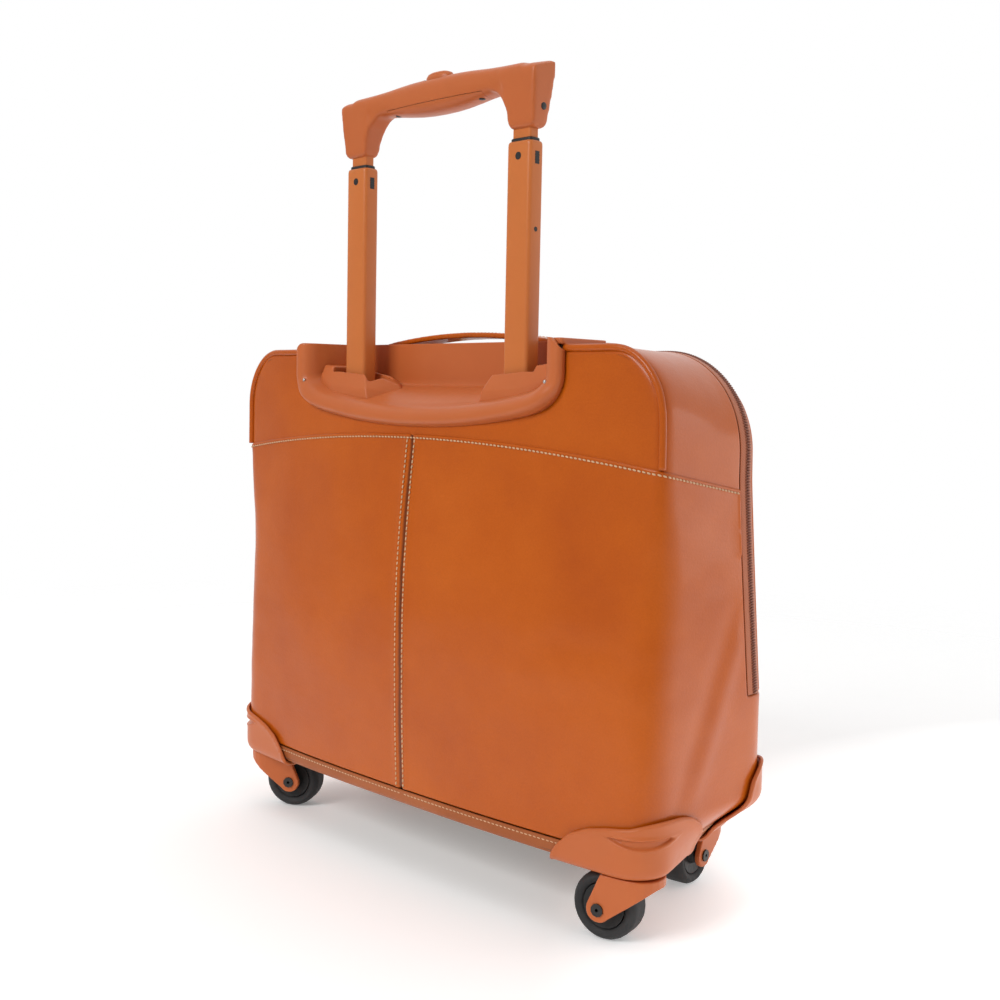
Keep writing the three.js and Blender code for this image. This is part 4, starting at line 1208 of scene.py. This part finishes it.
def grip_shape():
    """The bar and its two legs as one closed mesh."""
    shapes = []
    stations = [0, 12, 24, 36, 46, 56, 66, 76, 88]
    bellies = [554.6, 554.8, 555.6, 557.0, 558.4, 559.4, 560.0, 560.4, 560.4]
    tops = [580.4, 580.3, 580.0, 579.4, 578.6, 577.8, 577.2, 576.8, 576.4]
    nears = [9.6, 9.6, 9.8, 10.2, 10.6, 10.6, 10.2, 9.8, 9.4]
    fars = [33.8, 33.8, 33.4, 32.8, 32.2, 31.8, 31.6, 31.6, 31.4]
    leg = [
        (77.5, 97, 13.8, 25.2, 532.2, 532.2),
        (75.4, 99.2, 12.2, 27.0, 535.0, 535.0),
        (72.6, 101.4, 10.4, 29.8, 556.0, 556.0),
        (70.2, 102.0, 9.8, 31.2, 566.0, 566.0),
        (68.0, 102.0, 9.8, 31.6, 571.0, 577.6),
        (72.0, 98.0, 12.5, 30.0, 573.6, 578.4),
    ]
    fillet = [
        (74.4, 78, 11.4, 28.6, 544, 544),
        (70.4, 78, 11, 29.4, 553, 553),
        (64.5, 78, 11.4, 29.6, 558.5, 558.5),
        (54, 78, 11.8, 29.6, 563, 563),
    ]
    bar = list(zip(stations, bellies, tops, nears, fars))
    for _, side in SIDES:
        for (x0, *first), (x1, *second) in zip(bar, bar[1:]):
            shapes.append(hull(section(side * x0, *first) + section(side * x1, *second)))
        for levels in (leg, fillet):
            shapes += [slab(side, pair) for pair in zip(levels, levels[1:])]
    return softened(joined("GripShape", shapes), 0.001, 26)


def split_piece(source, name, keep_functions, materials, body, replaced):
    """Part of a mesh, on the positive side of some functions of its points in millimetres."""
    coords = np.array([v.co for v in source.data.vertices]).reshape(-1, 3) * 1000
    data = np.column_stack([coords[:, 0], BACK_Y - coords[:, 1], coords[:, 2]])
    faces = [tuple(p.vertices) for p in source.data.polygons]
    for keep in keep_functions:
        data, faces = cut(data, faces, keep(np.array(data)))
    data, faces = used_only(data, faces)
    obj = mesh_object(name, to_world(data), faces, materials)
    walled(obj, GRIP_WALL)
    return finish_piece(obj, body, replaced)


def button_gap(p):
    """Outside the button's hole on top of the grip."""
    x, d = np.abs(p[:, 0]) - 8.4, np.abs(p[:, 1] - BUTTON_DEPTH) - 0.9
    return np.maximum(rounded_distance(x, d) - 5.6, 570 - p[:, 2])


def cover_line(p):
    """Outside the cover under the grip's bar."""
    return np.maximum(p[:, 2] - 562.15, np.abs(p[:, 0]) - 50.15)


grip_source = grip_shape()
split_piece(
    grip_source, "GripShell", [cover_line, button_gap], [PLASTIC],
    "grip", ["grip_upper_shell"],
)
split_piece(
    grip_source, "GripCover", [lambda p: -cover_line(p) - 0.3], [PLASTIC],
    "grip", ["grip_lower_cover"],
)
bpy.data.objects.remove(grip_source)


def button_shape():
    """A domed oval button on a short stem, with the bar that works the push rods."""
    rings = [(566.9, 1.0), (576.0, 1.0), (580.5, 0.96), (582.6, 0.84), (583.7, 0.6), (584.0, 0.3)]
    shapes = []
    for (z0, s0), (z1, s1) in zip(rings, rings[1:]):
        corners = []
        for z, share in ((z0, s0), (z1, s1)):
            for k in range(36):
                c, s = math.cos(2 * math.pi * k / 36), math.sin(2 * math.pi * k / 36)
                x = 13.2 * share * math.copysign(abs(c) ** 0.8, c)
                corners.append((x, BUTTON_DEPTH + 5.8 * share * math.copysign(abs(s) ** 0.8, s), z))
        shapes.append(hull(corners))
    shapes.append(slab(1, [(-90, 90, 16, 23, 566.9, 566.9), (-90, 90, 16, 23, 569.6, 569.6)]))
    made = joined("GripButton", shapes)
    cut_out(made, block((-4.8, 4.8), (14.6, 24.4), (560, 571.2)))  # room for the spring
    return softened(made, 0.0005, 4)


finish_piece(button_shape(), "release", ["grip_button"], PLASTIC)


def screw(name, body, place, axis, radius, material):
    """A round screw head, facing along an axis of the (x, depth, z) frame."""
    bm = bmesh.new()
    turn = Vector((0, 0, 1)).rotation_difference(Vector(axis))
    around = [(math.cos(2 * math.pi * k / 32), math.sin(2 * math.pi * k / 32)) for k in range(32)]
    loops = []
    for r, lift in ((radius, -1.2), (radius, 0.0), (radius * 0.8, 0.35), (radius * 0.25, 0.45)):
        loops.append([bm.verts.new((r * c, r * s, lift)) for c, s in around])
    for a, b in zip(loops, loops[1:]):
        for k in range(32):
            bm.faces.new((a[k], a[(k + 1) % 32], b[(k + 1) % 32], b[k]))
    bm.faces.new(loops[-1])
    bm.faces.new(loops[0][::-1])
    for v in bm.verts:
        v.co = Vector(place) + turn @ v.co
    made = joined(name, [bm])
    made.data.shade_smooth()
    return finish_piece(made, body, material=material)


for place, side in SIDES:
    screw("SideScrew_" + place, "grip", (side * 100.5, 21.5, 546.5), (side, 0, 0), 2.6, RIVET)
    screw("CoverScrew_" + place, "grip", (side * 44, 19, 558.3), (0, 0, -1), 2.4, RIVET)
    screw("TrayRivet_" + place, "case", (side * 129, -3.1, 362), (0, -1, 0), 1.2, STEEL)

# ---------- tubes and tyres ----------


def rounded_loop(x, w, d, r, z, count=6):
    """Points of a rounded rectangle round a tube's axis."""
    r = max(0.2, min(r, w / 2 - 0.1, d / 2 - 0.1))
    points = []
    for cx, cd, start in ((1, 1, 0), (-1, 1, 1), (-1, -1, 2), (1, -1, 3)):
        for k in range(count):
            a = math.pi / 2 * (start + k / (count - 1))
            points.append((
                x + cx * (w / 2 - r) + r * math.cos(a), TUBE_DEPTH + cd * (d / 2 - r) + r * math.sin(a), z,
            ))
    return points


def hollow(name, loops, body, material, replaced):
    """A closed tube through rounded loops that run up outside and down inside."""
    count = len(loops[0])
    verts = [p for loop in loops for p in loop]
    faces = []
    for i in range(len(loops)):
        a, b = i * count, ((i + 1) % len(loops)) * count
        faces += [(a + k, a + (k + 1) % count, b + (k + 1) % count, b + k) for k in range(count)]
    obj = mesh_object(name, to_world(np.array(verts)), faces, [material])
    tidy_mesh(obj)
    return finish_piece(obj, body, replaced)


for place, side in SIDES:
    x = side * TUBE_X
    w, d = STAGE1_W, STAGE1_D
    lip = ((0.12, 522.6), (0.5, 523.6), (1.0, STAGE1_HEAD))
    loops = [rounded_loop(x, w, d, 2.9, z) for z in (STAGE1_FOOT, 290.0, 380.0, 480.0, 521.0)]
    loops += [rounded_loop(x, w - 2 * cut_in, d - 2 * cut_in, 2.9, z) for cut_in, z in lip]
    loops += [rounded_loop(x, w - 2.6, d - 2.6, 1.6, z) for z in (523.9, 480.0, STAGE1_FOOT)]
    hollow("StageOneTube_" + place, loops, "stage1", TUBE, ["stage1_tube_" + place])
    loops = [rounded_loop(x, w - 3.3, d - 3.3, 2.2, z) for z in (COLLAR_FOOT, 525.6)]
    loops += [rounded_loop(x, w - 3.9, d - 3.9, 2.2, COLLAR_HEAD)]
    loops += [rounded_loop(x, 17.3, 9.1, 1.2, z) for z in (COLLAR_HEAD, COLLAR_FOOT)]
    hollow("StageOneCollar_" + place, loops, "stage1", BLACK, ["stage1_collar_" + place])
    face = TUBE_DEPTH - d / 2
    ring = [(x + 2.6 * math.cos(a), 514 + 2.6 * math.sin(a)) for a in np.linspace(0, 2 * math.pi, 25)[:-1]]
    marks = [hull([(px, depth, pz) for px, pz in ring for depth in (face - 0.18, face + 0.7)])]
    for edge in (-1, 1):
        out = x + edge * w / 2
        for k in range(5):
            z = 508.6 + 1.72 * k
            wide = 2.0 + 0.12 * (k % 2)
            marks.append(hull([
                (out + edge * dx, TUBE_DEPTH + dd, z + dz)
                for dx in (-0.7, 0.2) for dd in (-wide, wide) for dz in (0, 1.35)
            ]))
        marks.append(hull([
            (out + edge * dx, TUBE_DEPTH + dd, z)
            for dx in (-0.7, 0.06) for dd in (-1.9, 1.9) for z in (508.4, 516.9)
        ]))
    out = x + side * w / 2
    ring = [(1.7 * math.cos(a), 465 + 1.7 * math.sin(a)) for a in np.linspace(0, 2 * math.pi, 21)[:-1]]
    marks.append(hull([(out + side * dx, TUBE_DEPTH + pd, pz) for pd, pz in ring for dx in (-0.7, 0.04)]))
    inserts = joined("StageOneInserts_" + place, marks)
    finish_piece(inserts, "stage1", material=BLACK)

for place in CORNERS:
    moulded("Tyre_" + place, "caster_tyre_" + place, "wheel_" + place, TYRE, 0.0009, 14)

# ---------- carry handle and sleeve ----------

moulded("CarryHandle", "carry_handle", "case", LEATHER, 0.0008, 10)


def strap_top(x):
    """Height of the carry handle's upper face."""
    arch = np.cos(np.clip(x / 98, -1, 1) * math.pi / 2)
    return TOP + 4.3 + 9.0 * np.where(np.abs(x) < 98, np.maximum(arch, 0) ** 0.8, 0)


strap_runs = []
for depth in (53.4, 72.6):
    x = np.linspace(-123, 123, 240)
    line = np.column_stack([x, np.full(len(x), depth), strap_top(x)])
    slope = np.gradient(line[:, 2], x)
    upright = np.column_stack([-slope, np.zeros(len(x)), np.ones(len(x))])
    strap_runs.append(resample(line, upright, STRIDE))
beads("StitchesStrap", "case", THREAD, strap_runs, STITCH, 0.95, 0.7, -0.15, 0.1)


SLEEVE_PUFF = 0.0012  # how far the cloth may leave the CAD surface, in metres


def padded_sleeve():
    """The laptop sleeve's quilted walls, inflated by a short cloth simulation."""
    obj = placed("LaptopSleeve", nodes["laptop_sleeve"].data.copy())
    remeshed(obj, 0.003)
    evaluated(obj)
    start = np.array([v.co for v in obj.data.vertices])
    normals = np.array([v.normal for v in obj.data.vertices])
    for v, n in zip(obj.data.vertices, normals):
        v.co = v.co - Vector(n) * 0.0008
    cloth = obj.modifiers.new("Cloth", "CLOTH")
    cloth.settings.use_pressure = True
    cloth.settings.uniform_pressure_force = 4
    cloth.settings.quality = 5
    cloth.settings.mass = 0.3
    cloth.settings.tension_stiffness = 15
    cloth.settings.bending_stiffness = 2
    cloth.settings.effector_weights.gravity = 0
    cloth.collision_settings.use_collision = False
    cloth.point_cache.frame_start = 1
    cloth.point_cache.frame_end = 20
    for frame_number in range(1, 21):
        bpy.context.scene.frame_set(frame_number)
        bpy.context.view_layer.update()
    evaluated(obj)
    bpy.context.scene.frame_set(1)
    for v, home in zip(obj.data.vertices, start):
        shift = v.co - Vector(home)
        if shift.length > SLEEVE_PUFF:
            shift = shift * (SLEEVE_PUFF / shift.length)
        v.co = Vector(home) + shift
    obj.data.shade_smooth()
    finish_piece(obj, "case", ["laptop_sleeve"], LINING)


padded_sleeve()

# ---------- CAD nodes that stay ----------

FINISH = {
    "stage2_tube": TUBE, "stage1_shoe": BLACK, "stage2_shoe": BLACK, "caster_hub": BLACK,
    "handle_housing": STEEL, "housing_foot": STEEL, "push_rod": STEEL, "button_spring": STEEL,
    "caster_axle": RIVET, "base_board": BOARD, "pocket_zip": TAPE,
    "zip_slider": BRASS, "zip_pull": BRASS, "pocket_slider": BRASS,
}
for name, node in nodes.items():
    for prefix, material in FINISH.items():
        if name.startswith(prefix):
            node.data.materials.clear()
            node.data.materials.append(material)
            bevel = node.modifiers.new("Edges", "BEVEL")
            bevel.width = 0.0004
            bevel.segments = 2
            bevel.limit_method = "ANGLE"
            bevel.angle_limit = math.radians(35)
            node.data.shade_smooth()
            node.modifiers.new("Corners", "WEIGHTED_NORMAL").keep_sharp = True

# ---------- floor, light and camera ----------

floor_mesh = bpy.data.meshes.new("Floor")
floor_bm = bmesh.new()
bmesh.ops.create_grid(floor_bm, x_segments=4, y_segments=4, size=6)
floor_bm.to_mesh(floor_mesh)
floor_bm.free()
floor_nodes = Nodes("floor")
fade = floor_nodes.add("ShaderNodeVectorMath", operation="LENGTH")
floor_nodes.link(floor_nodes.place, fade.inputs[0])
beside = floor_nodes.add("ShaderNodeVectorMath", operation="DISTANCE")
beside.inputs[1].default_value = (-0.75, -0.35, 0)
floor_nodes.link(floor_nodes.place, beside.inputs[0])
floor_nodes.set(
    Base_Color=floor_nodes.mix(floor_nodes.noise(3, 3), (0.955, 0.95, 0.945), (0.97, 0.966, 0.96)),
    Roughness=0.9,
    Emission_Color=(1.0, 1.0, 1.0),
    Emission_Strength=floor_nodes.range(beside.outputs["Value"], 1.5, 0.14, 0.2, 0.75),
    Alpha=floor_nodes.range(fade.outputs["Value"], 1.0, 0.0, 0.35, 1.5),
)
floor_mesh.materials.append(floor_nodes.material)
floor = placed("Floor", floor_mesh)

world = bpy.data.worlds.new("World")
bpy.context.scene.world = world
world.use_nodes = True
sky = world.node_tree
sky.nodes["Background"].inputs["Color"].default_value = (1, 1, 1, 1)
direction = sky.nodes.new("ShaderNodeTexCoord")
side_on = sky.nodes.new("ShaderNodeVectorMath")
side_on.operation = "DOT_PRODUCT"
side_on.inputs[1].default_value = (0.1, -1.0, 0.0)
bright = sky.nodes.new("ShaderNodeMapRange")
for socket, value in (("From Min", -0.5), ("From Max", 0.4), ("To Min", 0.36), ("To Max", 1.0)):
    bright.inputs[socket].default_value = value
sky.links.new(direction.outputs["Generated"], side_on.inputs[0])
sky.links.new(side_on.outputs["Value"], bright.inputs["Value"])
sky.links.new(bright.outputs["Result"], sky.nodes["Background"].inputs["Strength"])
bpy.context.scene.view_settings.view_transform = "Standard"


def area_light(name, place, aim, size, power):
    data = bpy.data.lights.new(name, "AREA")
    data.shape = "RECTANGLE"
    data.size, data.size_y = size
    data.energy = power
    made = placed(name, data)
    made.location = place
    made.rotation_mode = "QUATERNION"
    made.rotation_quaternion = (Vector(aim) - Vector(place)).to_track_quat("-Z", "Y")


area_light("Key", (0.1, 2.4, 1.7), (0, 0, 0.25), (1.4, 1.0), 42)
area_light("Side", (-1.5, -2.3, 0.3), (-0.2, 0, 0.15), (1.2, 0.9), 5)
area_light("Top", (0.2, 0.3, 2.4), (0, 0, 0.3), (1.6, 1.6), 6)

camera_data = bpy.data.cameras.new("Camera")
camera = placed("Camera", camera_data)
bpy.context.scene.camera = camera
camera_data.sensor_width = 36
camera_data.lens = 46.47
YAW, PITCH, ROLL = 0.774, 0.079, 0.020
forward = Vector((math.sin(YAW) * math.cos(PITCH), -math.cos(YAW) * math.cos(PITCH), -math.sin(PITCH)))
level = Vector((-math.cos(YAW), -math.sin(YAW), 0))
above = level.cross(forward)
right = level * math.cos(ROLL) + above * math.sin(ROLL)
upward = above * math.cos(ROLL) - level * math.sin(ROLL)
basis = Matrix((right, upward, -forward)).transposed().to_4x4()
camera.matrix_world = Matrix.Translation((-0.7, (BACK_Y + 626.4) * 0.001, 0.351)) @ basis
camera_data.clip_start, camera_data.clip_end = 0.05, 20
